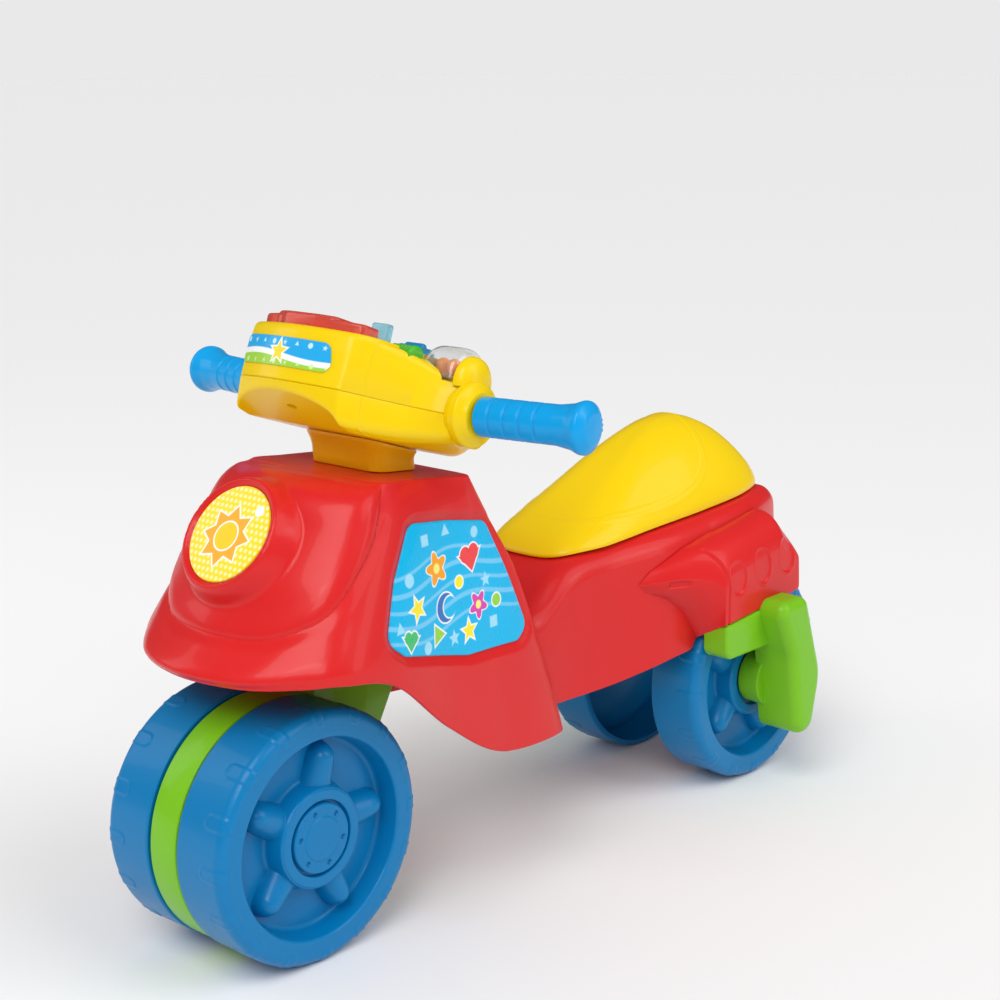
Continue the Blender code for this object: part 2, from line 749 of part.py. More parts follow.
def dash_top(x):
    return DASH_TOP + (ARM_TOP - DASH_TOP) * ease(DASH_HALF - 0.004, ARM_HALF, abs(x))


def dash_bottom(x):
    return -DASH_BOTTOM + (DASH_BOTTOM - ARM_TOP) * ease(DASH_HALF, ARM_HALF, abs(x))


def housing_sections(upper, inset):
    """Sections along the bar of one housing half, or of the space inside it."""
    arm = [DASH_HALF + (ARM_HALF - DASH_HALF) * share for share in (1.0, 0.83, 0.6, 0.36, 0.19, 0.07, 0.0)]
    across = [-x for x in arm] + [-DASH_HALF * share for share in (0.83, 0.5, 0.18)]
    across += [-x for x in reversed(across)]
    split = GAP / 2 if not inset else -0.001
    rings = []
    for x in across:
        place = x - math.copysign(inset, x) if abs(x) == ARM_HALF else x
        front, rear = dash_front(x) + inset, dash_rear(x) - inset
        cowl = 1 - ease(DASH_HALF - 0.006, ARM_HALF, abs(x))
        chin = DASH_CHIN * cowl + 0.003
        if upper:
            top = dash_top(x) - inset
            ring = [(front, split), (front + 0.001, top * 0.55), (front + 0.002, top - DASH_EDGE),
                    (front + 0.002 + DASH_EDGE, top), (rear - DASH_EDGE * 1.5, top - 0.002),
                    (rear, top - 0.002 - DASH_EDGE * 1.5), (rear, split)]
        else:
            low = dash_bottom(x) + inset
            ring = [(front, -split), (front + 0.0015, low + chin),
                    (front + 0.004 + chin + CHIN_RUN * cowl, low),
                    (rear - DASH_EDGE * 1.5, low), (rear, low + DASH_EDGE * 1.5), (rear, -split)]
        rings.append([dash_to_world((place, y, z)) for y, z in ring])
    return rings


def dash_box(low, high):
    return moved(box(low, high), DASH_FRAME)


def dash_cylinder(x0, x1, y, z, radius, sides=20):
    """A solid cylinder along the bar."""
    bm = spindle(((x0, radius), (x1, radius)), sides)
    return moved(bm, DASH_FRAME @ Matrix.Translation((0.0, y, z)))


def half_collar(side, upper):
    """Half of the round end that carries the grip."""
    low, high = ARM_HALF - 0.002, ARM_HALF + COLLAR_T
    profile = ((low, COLLAR_R - 0.003), (low + 0.004, COLLAR_R), (high - 0.006, COLLAR_R),
               (high, COLLAR_R - 0.0055))
    rings = []
    facing = 1 if upper else -1
    for x, r in profile:
        ring = [dash_to_world((side * x, BAR_Y + r * math.cos(math.pi * k / 12),
                               facing * (GAP / 2 + r * math.sin(math.pi * k / 12)))) for k in range(13)]
        rings.append(ring)
    return loft(rings)


def housing_half(name, upper):
    body = new_object(name, loft(housing_sections(upper, 0.0)), (YELLOW, 0.35))
    for side in (1, -1):
        add(body, half_collar(side, upper), "collar_" + ("left" if side > 0 else "right"))
    if upper:
        hump = [(DOME_Y + HUMP_R * math.cos(math.pi * k / 10),
                 DOME_BASE + HUMP_R * math.sin(math.pi * k / 10)) for k in range(11)]
        hump = [(DOME_Y - HUMP_R, ARM_TOP * 0.4)] + hump[::-1] + [(DOME_Y + HUMP_R, ARM_TOP * 0.4)]
        add(body, moved(plate(hump, DOME_X[1] + GAP, HUMP_END), DASH_FRAME), "dome_end")
    cut(body, loft(housing_sections(upper, DASH_WALL)), "hollow")
    cut(body, dash_cylinder(-0.12, 0.12, BAR_Y, 0.0, BAR_R + GAP, 16), "bar_channel")
    return body


def upper_housing(parent):
    body = housing_half("upper_housing", True)
    gap = 0.0006
    cut(body, moved(plate(lens_outline(gap), 0.01, 0.06, "Z"), DASH_FRAME), "lens_opening")
    x, y = PAGE_POS
    w, d, h = PAGE_SIZE
    cut(body, dash_box((x - w / 2 - gap, y - d / 2 - gap, 0.02), (x + w / 2 + gap, y + d / 2 + gap, 0.06)),
        "page_opening")
    rollers = ((ROLLER_POS, ROLLER_R, ROLLER_W, DASH_TOP + ROLLER_SHOW - ROLLER_R, "blue"),
               (RIBBED_POS, RIBBED_R, RIBBED_W, RIBBED_Z, "green"))
    for (x, y), radius, width, height, word in rollers:
        reach = radius + 0.001
        near, far = x - width / 2 - 0.001, x + width / 2 + 0.001
        cut(body, dash_box((near, y - reach, height - 0.003), (far, y + reach, 0.06)), word + "_opening")
        for low in (near - LUG_T, far):
            lug = dash_box((low, y - 0.004, height - 0.004),
                           (low + LUG_T, y + 0.004, dash_top(low) - DASH_WALL * 0.4))
            add(body, lug, word + ("_lug_near" if low < x else "_lug_far"))
        cut(body, dash_cylinder(near - 0.003, far + 0.003, y, height, SHAFT_R + GAP, 12),
            word + "_shaft_bore")
    opening = dash_box((DOME_X[0] - GAP, DOME_Y - DOME_R - GAP, 0.008),
                       (DOME_X[1] + GAP, DOME_Y + DOME_R + GAP, 0.06))
    cut(body, opening, "dome_opening")
    return hand_over(body, parent)


def lower_housing(parent):
    body = housing_half("lower_housing", False)
    half, low, high = DOOR_SIZE
    rear = DASH_REAR
    opening = dash_box((-half - GAP, rear - DASH_WALL * 2, low - GAP), (half + GAP, rear + 0.01, high + GAP))
    cut(body, opening, "battery_opening")
    for k in range(-2, 3):
        hole = [(k * 0.005 - 0.0012, GRILLE_Y[0]), (k * 0.005 + 0.0012, GRILLE_Y[0]),
                (k * 0.005 + 0.0012, GRILLE_Y[1]), (k * 0.005 - 0.0012, GRILLE_Y[1])]
        cut(body, moved(plate(hole, -0.04, -0.015, "Z"), DASH_FRAME), "grille_%d" % (k + 3))
    slot = rounded(((-CHIN_HOLE_X, -CHIN_HOLE_R), (CHIN_HOLE_X, -CHIN_HOLE_R), (CHIN_HOLE_X, CHIN_HOLE_R),
                    (-CHIN_HOLE_X, CHIN_HOLE_R)), CHIN_HOLE_R * 0.98, 3)
    drill = DASH_FRAME @ Matrix.Translation((0.0, *CHIN_HOLE_POS)) @ Matrix.Rotation(-CHIN_SLOPE, 4, "X")
    cut(body, moved(plate(slot, -CHIN_HOLE_DEPTH, CHIN_HOLE_DEPTH, "Z"), drill), "chin_hole")
    return hand_over(body, parent)


def bar_frame(side):
    """Frame of one swept bar end, its X axis running out along the bar."""
    elbow = Matrix.Translation((side * (ARM_HALF + COLLAR_T), BAR_Y, 0.0))
    direction = Vector((side * math.cos(GRIP_SWEEP), math.sin(GRIP_SWEEP), math.tan(GRIP_RISE))).normalized()
    turn = Vector((1.0, 0.0, 0.0)).rotation_difference(direction).to_matrix().to_4x4()
    return DASH_FRAME @ elbow @ turn


def handlebar(parent):
    """One bent tube through both arms."""
    reach = GRIP_LENGTH - 0.012
    rings = []
    sides = 14
    for side, along in ((-1, reach), (-1, 0.0), (1, 0.0), (1, reach)):
        centre = bar_frame(side) @ Vector((along, 0.0, 0.0))
        across_y = DASH_FRAME.to_3x3() @ Vector((0.0, 1.0, 0.0))
        across_z = DASH_FRAME.to_3x3() @ Vector((0.0, 0.0, 1.0))
        ring = []
        for k in range(sides):
            angle = 2 * math.pi * k / sides
            ring.append(centre + (across_y * math.cos(angle) + across_z * math.sin(angle)) * BAR_R)
        rings.append(ring)
    return hand_over(new_object("handlebar", loft(rings), (STEEL, 0.35, 1.0)), parent)


def grip(name, side, parent):
    """Ribbed grip with a mushroom end."""
    start = GRIP_R * math.sin(GRIP_SWEEP) + GAP * 2
    end = start + GRIP_LENGTH
    bore = BAR_R + GAP * 2
    knob = end - KNOB_LENGTH
    profile = [(start, GRIP_R - 0.001), (start + 0.001, GRIP_R)]
    for k in range(4):
        x = start + 0.010 + k * 0.011
        profile += [(x, GRIP_R), (x + 0.0008, GRIP_R - 0.0008), (x + 0.0016, GRIP_R)]
    profile += [(knob, GRIP_R + 0.0012), (knob + 0.008, KNOB_R), (end - 0.005, KNOB_R),
                (end - 0.0015, KNOB_R * 0.72), (end, 0.004)]
    frame = bar_frame(side)
    body = new_object(name, moved(spindle(profile, 20), frame), (SKY, 0.35))
    cut(body, moved(spindle(((start - 0.01, bore), (end - 0.0115, bore)), 16), frame), "bore")
    return hand_over(body, parent)


# Dashboard features

def lens_outline(grow=0.0):
    half = LENS_HALF + grow
    corners = ((-half, LENS_SIDE - grow), (-half * 0.5, LENS_FRONT - grow), (half * 0.5, LENS_FRONT - grow),
               (half, LENS_SIDE - grow), (half - 0.006, LENS_REAR + grow), (-half + 0.006, LENS_REAR + grow))
    return rounded(corners, (0.004, 0.010, 0.010, 0.004, 0.004, 0.004), 2)


def lamp_lens(parent):
    """Clear red press lamp along the front of the dashboard."""
    low = DASH_TOP - 0.007
    top = DASH_TOP + LENS_HEIGHT
    outline = lens_outline()
    middle = (LENS_FRONT + LENS_REAR) / 2
    rings = []
    for z, share in ((low, 1.0), (top - 0.003, 1.0), (top - 0.0008, 0.96), (top, 0.88)):
        rings.append([dash_to_world((x * share, middle + (y - middle) * share, z)) for x, y in outline])
    obj = new_object("lamp_lens", loft(rings), ((0.85, 0.04, 0.03), 0.2, 0.0, 0.6))
    return hand_over(obj, parent, dash_to_world((0.0, middle, DASH_TOP)))


def page_button(parent):
    x, y = PAGE_POS
    w, d, h = PAGE_SIZE
    low = DASH_TOP - 0.006
    obj = new_object("page_button", dash_box((x - w / 2, y - d / 2, low), (x + w / 2, y + d / 2, low + h)),
                     ((0.55, 0.80, 0.90), 0.15, 0.0, 0.7))
    soften(obj, 0.0012)
    return hand_over(obj, parent, dash_to_world((x, y, DASH_TOP)))


def switch_pad(name, x, y, parent):
    """Rubber dome between a button and the circuit board."""
    low = BOARD_Z + BOARD_T / 2 + GAP
    high = DASH_TOP - 0.007 - GAP
    bm = spindle(((low, 0.005), (low + 0.001, 0.005), (high - 0.002, 0.003), (high, 0.0025)), 14)
    moved(bm, DASH_FRAME @ Matrix.Translation((x, y, 0.0)) @ Matrix.Rotation(-math.pi / 2, 4, "Y"))
    return hand_over(new_object(name, bm, ((0.5, 0.5, 0.5), 0.7)), parent)


def toothed_roller(name, place, radius, width, height, teeth, colour, parent):
    """A drum with a bumpy rim on a thin shaft along the bar."""
    x, y = place
    outline = []
    for k in range(teeth):
        for share, r in ((0.0, radius - 0.0013), (0.25, radius), (0.5, radius), (0.75, radius - 0.0013)):
            angle = 2 * math.pi * (k + share) / teeth
            outline.append((r * math.cos(angle), r * math.sin(angle)))
    drum = moved(plate(outline, -width / 2, width / 2), DASH_FRAME @ Matrix.Translation((x, y, height)))
    obj = new_object(name, drum, (colour, 0.35))
    shaft = dash_cylinder(x - width / 2 - SHAFT_OUT, x + width / 2 + SHAFT_OUT, y, height, SHAFT_R, 12)
    add(obj, shaft, "shaft")
    return hand_over(obj, parent, dash_to_world((x, y, height)))


def bead_dome(parent):
    """Clear rounded cover over the beads."""
    def arch(r, low):
        points = [(DOME_Y - r, low)]
        points += [(DOME_Y - r * math.cos(math.pi * k / 12),
                    DOME_BASE + r * math.sin(math.pi * k / 12)) for k in range(13)]
        return points + [(DOME_Y + r, low)]
    base = DOME_BASE - 0.006
    obj = new_object("bead_dome", moved(plate(arch(DOME_R, base), DOME_X[0], DOME_X[1]), DASH_FRAME),
                     (CLEAR, 0.08, 0.0, 0.3))
    hollow = plate(arch(DOME_R - DOME_WALL, base - 0.01), DOME_X[0] + DOME_WALL, DOME_X[1] - DOME_WALL)
    cut(obj, moved(hollow, DASH_FRAME), "hollow")
    cut(obj, dash_cylinder(DOME_X[0] - 0.01, DOME_X[1] + 0.01, DOME_Y, BEAD_Z, SHAFT_R + GAP, 16),
        "rod_bore")
    return hand_over(obj, parent)


def bead_spinner(parent):
    """Three coloured balls on one rod inside the clear cover."""
    low, high = DOME_X[0] + GAP, DOME_X[1] - GAP
    inset = 0.0022
    pitch = (high - low - inset * 2) / 3
    profile = [(low, SHAFT_R)]
    for k in range(3):
        centre = low + inset + pitch * (k + 0.5)
        for angle in (180, 135, 90, 45, 0):
            t = math.radians(angle)
            profile.append((centre + BEAD_R * math.cos(t), SHAFT_R + BEAD_R * math.sin(t)))
    profile.append((high, SHAFT_R))
    bm = spindle(profile, 16)
    place = (DOME_Y, BEAD_Z)
    moved(bm, DASH_FRAME @ Matrix.Translation((0.0, *place)))
    obj = new_object("bead_spinner", bm, ((0.95, 0.35, 0.02), 0.3))
    return hand_over(obj, parent, dash_to_world(((low + high) / 2, *place)))


def inner_works(parent):
    """Circuit board, speaker, batteries and their door inside the housing."""
    rear = BAR_Y - BAR_R - 0.003
    front = LENS_SIDE - 0.002
    board = dash_box((-LENS_HALF, front, BOARD_Z - BOARD_T / 2), (LENS_HALF, rear, BOARD_Z + BOARD_T / 2))
    hand_over(new_object("circuit_board", board, (BOARD, 0.5)), parent)
    floor = -DASH_BOTTOM + DASH_WALL + GAP
    magnet_r = SPEAKER_R * 0.7
    speaker = spindle(((floor, SPEAKER_R), (floor + 0.003, SPEAKER_R), (floor + 0.004, magnet_r),
                       (floor + 0.009, magnet_r)), 22)
    upright = Matrix.Rotation(-math.pi / 2, 4, "Y")
    moved(speaker, DASH_FRAME @ Matrix.Translation((0.0, SPEAKER_Y, 0.0)) @ upright)
    hand_over(new_object("speaker", speaker, (DARK, 0.6)), parent)
    half, low, high = DOOR_SIZE
    for side, word in ((1, "left"), (-1, "right")):
        near = BATTERY_START
        cell = ((near, BATTERY_R - 0.0004), (near + 0.001, BATTERY_R), (near + 0.0475, BATTERY_R),
                (near + 0.0482, 0.0028), (near + 0.0493, 0.0028))
        bm = spindle(cell, 18)
        if side < 0:
            mirrored(bm)
        moved(bm, DASH_FRAME @ Matrix.Translation((0.0, BATTERY_Y, BATTERY_Z)))
        hand_over(new_object("battery_" + word, bm, ((0.25, 0.27, 0.30), 0.4, 0.6)), parent)
    door = dash_box((-half, DASH_REAR - DASH_WALL, low), (half, DASH_REAR, high))
    obj = new_object("battery_door", door, (YELLOW, 0.35))
    screw_hole = spindle(((-0.02, 0.0018 + GAP), (0.02, 0.0018 + GAP)), 14)
    turn = Matrix.Rotation(math.pi / 2, 4, "Z")
    place = DASH_FRAME @ Matrix.Translation((0.0, DASH_REAR, (low + high) / 2)) @ turn
    cut(obj, moved(screw_hole, place), "screw_hole")
    hand_over(obj, parent)
    screw = spindle(((-DASH_WALL - 0.001, 0.0018), (GAP, 0.0018), (GAP + 0.0001, 0.0034),
                     (GAP + 0.0011, 0.0028)), 14)
    hand_over(new_object("battery_door_screw", moved(screw, place), (STEEL, 0.35, 1.0)), parent)


# Rear body

def body_levels(offset):
    """Half width, lower edge and top of the rear body at a distance from the rear axle."""
    stations = BODY_STATIONS
    for a, b in zip(stations, stations[1:]):
        if offset <= b[0] or b is stations[-1]:
            share = min(max((offset - a[0]) / (b[0] - a[0]), 0.0), 1.0)
            return [p + (q - p) * share for p, q in zip(a[1:], b[1:])]
    return list(stations[-1][1:])


def body_section(y, half, low, high, corner):
    outline = rounded(((-half, low), (half, low), (half, high), (-half, high)),
                      (0.004, 0.004, corner, corner), 3)
    return [Vector((x, y, z)) for x, z in outline]


def grown_fairing(margin):
    rings = fairing_rings(FAIRING_COLUMNS, FAIRING_ROWS)
    grown = [inset_ring(ring, -margin) for ring in rings]
    grown[0] = [p + Vector((0, 0, margin)) for p in grown[0]]
    grown.append([p - Vector((0, 0, 0.06)) for p in grown[-1]])
    return loft(grown)


def rear_body():
    outer, inner = [], []
    for offset, half, low, high in BODY_STATIONS:
        y = REAR_Y + offset
        corner = min(BODY_CORNER, (high - low) * 0.3)
        outer.append(body_section(y, half, low, high, corner))
        y_in = min(max(y, REAR_Y + BODY_STATIONS[0][0] - 0.01), REAR_Y + BODY_STATIONS[-1][0] - SHELL)
        inner.append(body_section(y_in, half - SHELL, low - 0.02, high - SHELL, corner - SHELL * 0.5))
    body = new_object("rear_body", loft(outer), (RED, 0.3))
    cut(body, loft(inner), "hollow")
    for side, word in ((1, "left"), (-1, "right")):
        foot = [(RIB_FOOT, -0.004), (RIB_FOOT - 0.006, -0.014), (0.006 - RIB_FOOT, -0.014),
                (-RIB_FOOT, -0.004)]
        outline = [(REAR_Y + RIB_FRONT[0], RIB_FRONT[1]), (REAR_Y + RIB_FRONT[0], RIB_FRONT[2]),
                   (REAR_Y + RIB_REAR[0], RIB_REAR[2]), (REAR_Y + RIB_REAR[0], RIB_REAR[1])]
        outline += [(REAR_Y + y, AXLE_Z + z) for y, z in foot]
        low, high = sorted((side * (RIB_X - RIB_T), side * RIB_X))
        add(body, plate(outline, low, high), "axle_rib_" + word)
        arch = spindle(((REAR_INNER_X - 0.002, WHEEL_R + ARCH_CLEAR), (0.12, WHEEL_R + ARCH_CLEAR)), 40)
        if side < 0:
            mirrored(arch)
        cut(body, moved(arch, Matrix.Translation((0.0, REAR_Y, AXLE_Z))), "wheel_arch_" + word)
    bore = spindle(((-0.05, AXLE_R + GAP), (0.05, AXLE_R + GAP)), 16)
    cut(body, moved(bore, Matrix.Translation((0.0, REAR_Y, AXLE_Z))), "axle_bore")
    cut(body, grown_fairing(GAP * 2), "fairing_seat")
    return body


def seat_rings(inset, drop):
    """Rings of the seat cushion, from its lower edge up to the crown."""
    centre = Vector((0.0, SEAT_CROWN_Y))
    outline = []
    steps = 16
    for k in range(steps + 1):
        x, y = spline(SEAT_OUTLINE, (len(SEAT_OUTLINE) - 1) * k / steps, True)
        outline.append((max(x, 0.0), y))
    outline[0] = (0.0, outline[0][1])
    outline[-1] = (0.0, outline[-1][1])
    ring_shape = around(outline)
    rings = []
    for share, lift in SEAT_PROFILE:
        ring = []
        for p in ring_shape:
            plan = centre + (Vector(p) - centre) * share
            plan -= (plan - centre).normalized() * inset if (plan - centre).length > inset else Vector((0.0,
                                                                                                        0.0))
            front = SEAT_NOSE_LOW + (1 - SEAT_NOSE_LOW) * ease(*SEAT_NOSE, plan.y)
            base = body_levels(plan.y)[2] + GAP * 5
            ring.append(Vector((plan.x, REAR_Y + plan.y,
                                base + lift * front * SEAT_CROWN - drop * min(1.0, lift * 4))))
        rings.append(ring)
    return rings


def seat():
    outer = seat_rings(0.0, 0.0)
    inner = seat_rings(SHELL, SHELL)
    return new_object("seat", loft(outer[::-1] + inner), (YELLOW, 0.35))


# Engine covers and rear wheel brackets

def pod_outline(grow):
    """Side view of the engine cover at its root (grow 0) or its outer face (grow 1)."""
    upper = POD_FACE if grow else POD_ROOT
    rear = POD_REAR[1] if grow else POD_REAR[0]
    corners = ((POD_STEP, POD_BOTTOM), (rear, POD_BOTTOM + POD_RISE * (rear - POD_STEP)),
               (rear - 0.002, POD_REAR_Z), *upper)
    outline = rounded(corners, (0.002, 0.005, 0.020, 0.016, 0.010, 0.004 if grow else 0.010), 4)
    return [(REAR_Y + y, z) for y, z in outline]


def pod_rings(side, margin):
    """Rings from the body side out to the cover's flat outer face."""
    root = max(station[1] for station in BODY_STATIONS) + GAP
    levels = ((root, 0.0, 0.0), (root + 0.008, 0.3, 0.001), (POD_OUTER - 0.008, 0.7, 0.0065),
              (POD_OUTER - 0.003, 0.92, 0.0150), (POD_OUTER, 1.0, 0.0225))
    a, b = pod_outline(0), pod_outline(1)
    base = [POD_BOTTOM + POD_RISE * (p[0] - REAR_Y - POD_STEP) for p in b]
    rings = []
    for x, share, fall in levels:
        ring = [Vector(p).lerp(Vector(q), share) for p, q in zip(a, b)]
        drop = [fall * ease(*POD_SHOULDER, p.y - low) for p, low in zip(ring, base)]
        middle = sum(ring, Vector((0.0, 0.0))) / len(ring)
        ring = [p - Vector((0.0, d)) + (p - middle).normalized() * margin for p, d in zip(ring, drop)]
        rings.append([Vector((side * (x + (margin if x > root + 0.001 else 0.0)), *p)) for p in ring])
    return rings


def engine_cover(name, side):
    outer = pod_rings(side, 0.0)
    inner = pod_rings(side, -SHELL)
    body = new_object(name, loft(outer[::-1] + inner), (RED, 0.3))
    low, high = sorted((side * 0.06, side * (TONGUE_X[1] + GAP)))
    slot = box((low, REAR_Y + TONGUE_Y[0] - GAP, 0.12), (high, REAR_Y + TONGUE_Y[1] + GAP, 0.16))
    cut(body, slot, "tongue_slot")
    arch = spindle(((0.03, WHEEL_R + ARCH_CLEAR), (BRACKET_IN - 0.0005, WHEEL_R + ARCH_CLEAR)), 40)
    if side < 0:
        mirrored(arch)
    cut(body, moved(arch, Matrix.Translation((0.0, REAR_Y, AXLE_Z))), "wheel_clearance")
    return body


def wheel_bracket(name, side):
    """Block under the engine cover, leg outside the wheel and boss on the axle."""
    low_z = POD_BOTTOM - BLOCK_DROP
    front = POD_STEP + 0.0015
    block = rounded(((front, low_z), (BLOCK_REAR, low_z), (BLOCK_REAR, POD_BOTTOM + 0.006),
                     (front, POD_BOTTOM + 0.006)),
                    0.004, 2)
    block = [(REAR_Y + y, z) for y, z in block]
    sides = sorted((side * BRACKET_IN, side * (POD_OUTER + 0.0005)))
    body = new_object(name, plate(block, *sides), (GREEN, 0.35))
    leg = [(REAR_Y + y, z) for y, z in rounded(LEG_OUTLINE, LEG_CORNERS, 3)]
    rings = []
    middle = sum((Vector(p) for p in leg), Vector((0.0, 0.0))) / len(leg)
    levels = ((LEG_IN, 0.002), (LEG_IN + 0.002, 0.0), (LEG_OUT - 0.007, 0.0), (LEG_OUT - 0.002, 0.0025),
              (LEG_OUT, 0.006))
    for x, margin in levels:
        ring = [Vector(p) - (Vector(p) - middle).normalized() * margin for p in leg]
        rings.append([Vector((side * x, *p)) for p in ring])
    add(body, loft(rings), "leg")
    boss = spindle(((BRACKET_IN - BOSS_REACH, BOSS_R - 0.002), (BRACKET_IN - BOSS_REACH + 0.002, BOSS_R),
                    (LEG_IN + 0.001, BOSS_R + 0.002)), 24)
    if side < 0:
        mirrored(boss)
    add(body, moved(boss, Matrix.Translation((0.0, REAR_Y, AXLE_Z))), "boss")
    tongue = box((min(side * TONGUE_X[0], side * TONGUE_X[1]), REAR_Y + TONGUE_Y[0], POD_BOTTOM - 0.01),
                 (max(side * TONGUE_X[0], side * TONGUE_X[1]), REAR_Y + TONGUE_Y[1], 0.178))
    under = [(REAR_Y + y, POD_BOTTOM - COVER_SEAT + POD_RISE * (y - POD_STEP)) for y in (-0.12, 0.06)]
    under += [(REAR_Y + 0.06, 0.25), (REAR_Y - 0.12, 0.25)]
    cut(body, plate(under, *sorted((side * 0.05, side * (POD_OUTER + GAP)))), "cover_seat")
    add(body, tongue, "tongue")
    bore = spindle(((0.05, AXLE_R + GAP), (LEG_OUT - 0.006, AXLE_R + GAP)), 16)
    if side < 0:
        mirrored(bore)
    cut(body, moved(bore, Matrix.Translation((0.0, REAR_Y, AXLE_Z))), "axle_bore")
    return body


def main():
    clear_scene()
    front_fairing()
    headlight_disc()
    side_panel("side_panel_left", 1)
    side_panel("side_panel_right", -1)
    steering_bush("upper_steering_bush", True)
    steering_bush("lower_steering_bush", False)
    rear_body()
    seat()
    for side, word in ((1, "left"), (-1, "right")):
        engine_cover("engine_cover_" + word, side)
        wheel_bracket("wheel_bracket_" + word, side)

    pivot = steering_empty()
    fork(pivot)
    steering_column(pivot)
    neck(pivot)
    lower_housing(pivot)
    upper_housing(pivot)
    handlebar(pivot)
    lamp_lens(pivot)
    page_button(pivot)
    switch_pad("lamp_switch_pad", 0.0, (LENS_FRONT + LENS_REAR) / 2, pivot)
    switch_pad("page_switch_pad", *PAGE_POS, pivot)
    toothed_roller("blue_roller", ROLLER_POS, ROLLER_R, ROLLER_W, DASH_TOP + ROLLER_SHOW - ROLLER_R, 9, SKY,
                   pivot)
    toothed_roller("green_roller", RIBBED_POS, RIBBED_R, RIBBED_W, RIBBED_Z, 12, GREEN, pivot)
    bead_dome(pivot)
    bead_spinner(pivot)
    inner_works(pivot)
    for side, word in ((1, "left"), (-1, "right")):
        grip("grip_" + word, side, pivot)
        front = wheel("front_wheel_" + word, FRONT_INNER_X, FRONT_Y, side, pivot)
        bpy.context.view_layer.update()
        hub_cap("hub_cap_" + word, side, front)
        wheel("rear_wheel_" + word, REAR_INNER_X, REAR_Y, side)
    axle("front_axle", FRONT_Y, FRONT_INNER_X + WHEEL_W - HUB_SINK - CAP_T - GAP, pivot)
    axle("rear_axle", REAR_Y, LEG_OUT - 0.0065)


main()
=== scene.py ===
"""The looks of the ride-on motorbike toy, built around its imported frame."""

import math

import bpy
import numpy as np
from mathutils import Matrix, Vector


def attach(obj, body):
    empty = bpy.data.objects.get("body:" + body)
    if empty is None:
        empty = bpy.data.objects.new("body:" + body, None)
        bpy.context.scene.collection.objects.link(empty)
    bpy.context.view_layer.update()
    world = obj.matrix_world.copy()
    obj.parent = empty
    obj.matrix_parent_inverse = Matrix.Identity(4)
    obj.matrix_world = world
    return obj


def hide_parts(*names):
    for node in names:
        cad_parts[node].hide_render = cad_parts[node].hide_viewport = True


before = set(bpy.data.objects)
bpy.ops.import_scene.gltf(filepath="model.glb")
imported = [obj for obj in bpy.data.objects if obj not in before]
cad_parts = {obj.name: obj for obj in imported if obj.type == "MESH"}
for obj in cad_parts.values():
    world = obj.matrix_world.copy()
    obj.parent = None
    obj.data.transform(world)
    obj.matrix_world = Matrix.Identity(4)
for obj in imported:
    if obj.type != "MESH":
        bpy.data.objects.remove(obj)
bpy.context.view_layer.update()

# Sizes shared with the frame, in metres
WHEEL_R = 0.0794
WHEEL_W = 0.040
LUG_H = 0.0006
LUGS = 16
FRONT_Y = -0.213
REAR_Y = 0.213
AXLE_Z = 0.08
FRONT_INNER_X = 0.0133
REAR_INNER_X = 0.032
DECK_SLOPE = math.radians(5.4)
DECK_Z = 0.2905
DECK_START = 0.045
DECK_UP = np.array((0.0, math.sin(DECK_SLOPE), math.cos(DECK_SLOPE)))
DECK_BACK = np.array((0.0, math.cos(DECK_SLOPE), -math.sin(DECK_SLOPE)))
COLUMN_BACK = 0.088
HEADLIGHT = np.array((0.0, FRONT_Y - 0.019, 0.2633))
HEADLIGHT_TILT = math.radians(35)
HEADLIGHT_FACING = np.array((0.0, -math.cos(HEADLIGHT_TILT), math.sin(HEADLIGHT_TILT)))
HEADLIGHT_UP = np.array((0.0, math.sin(HEADLIGHT_TILT), math.cos(HEADLIGHT_TILT)))
LEFT = np.array((1.0, 0.0, 0.0))
DASH_TILT = math.radians(18.5)
DASH_O = np.array((0.0, FRONT_Y + 0.105, 0.3248))
DASH_Y = np.array((0.0, math.cos(DASH_TILT), -math.sin(DASH_TILT)))
DASH_Z = np.array((0.0, math.sin(DASH_TILT), math.cos(DASH_TILT)))


# Mesh helpers

def smooth(low, high, value):
    t = np.clip((value - low) / (high - low), 0.0, 1.0)
    return t * t * (3 - 2 * t)


def mix(a, b, t):
    return a + (b - a) * t


def soft_max(a, b, k):
    """The larger of two values, with a fillet of size k where they meet."""
    h = np.clip(0.5 + 0.5 * (a - b) / k, 0.0, 1.0)
    return b + (a - b) * h + k * h * (1 - h)


def make(name, verts, faces, mat, body, replaces=(), slot=None, angle=35, colours=None, outward=True):
    """A mesh that rides on a body of the frame and stands for some of its nodes."""
    mesh = bpy.data.meshes.new(name)
    mesh.from_pydata(np.asarray(verts, float).reshape(-1, 3).tolist(), [],
                     [list(map(int, f)) for f in faces])
    mesh.update()
    if outward and volume(mesh) < 0:
        mesh.flip_normals()
    mesh.shade_smooth()
    mesh.set_sharp_from_angle(angle=math.radians(angle))
    if colours is not None:
        layer = mesh.color_attributes.new("print", "FLOAT_COLOR", "POINT")
        data = np.ones((len(mesh.vertices), 4))
        data[:, :3] = colours
        layer.data.foreach_set("color", data.ravel())
    mesh.materials.append(mat)
    obj = bpy.data.objects.new(name, mesh)
    bpy.context.scene.collection.objects.link(obj)
    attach(obj, body)
    if replaces:
        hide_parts(*replaces)
    return obj


def volume(mesh):
    co = np.zeros(len(mesh.vertices) * 3)
    mesh.vertices.foreach_get("co", co)
    co = co.reshape(-1, 3)
    co = co - co.mean(0)
    mesh.calc_loop_triangles()
    tri = np.zeros(len(mesh.loop_triangles) * 3, int)
    mesh.loop_triangles.foreach_get("vertices", tri)
    a, b, c = (co[tri[k::3]] for k in range(3))
    return float(np.einsum("ij,ij->i", a, np.cross(b, c)).sum())


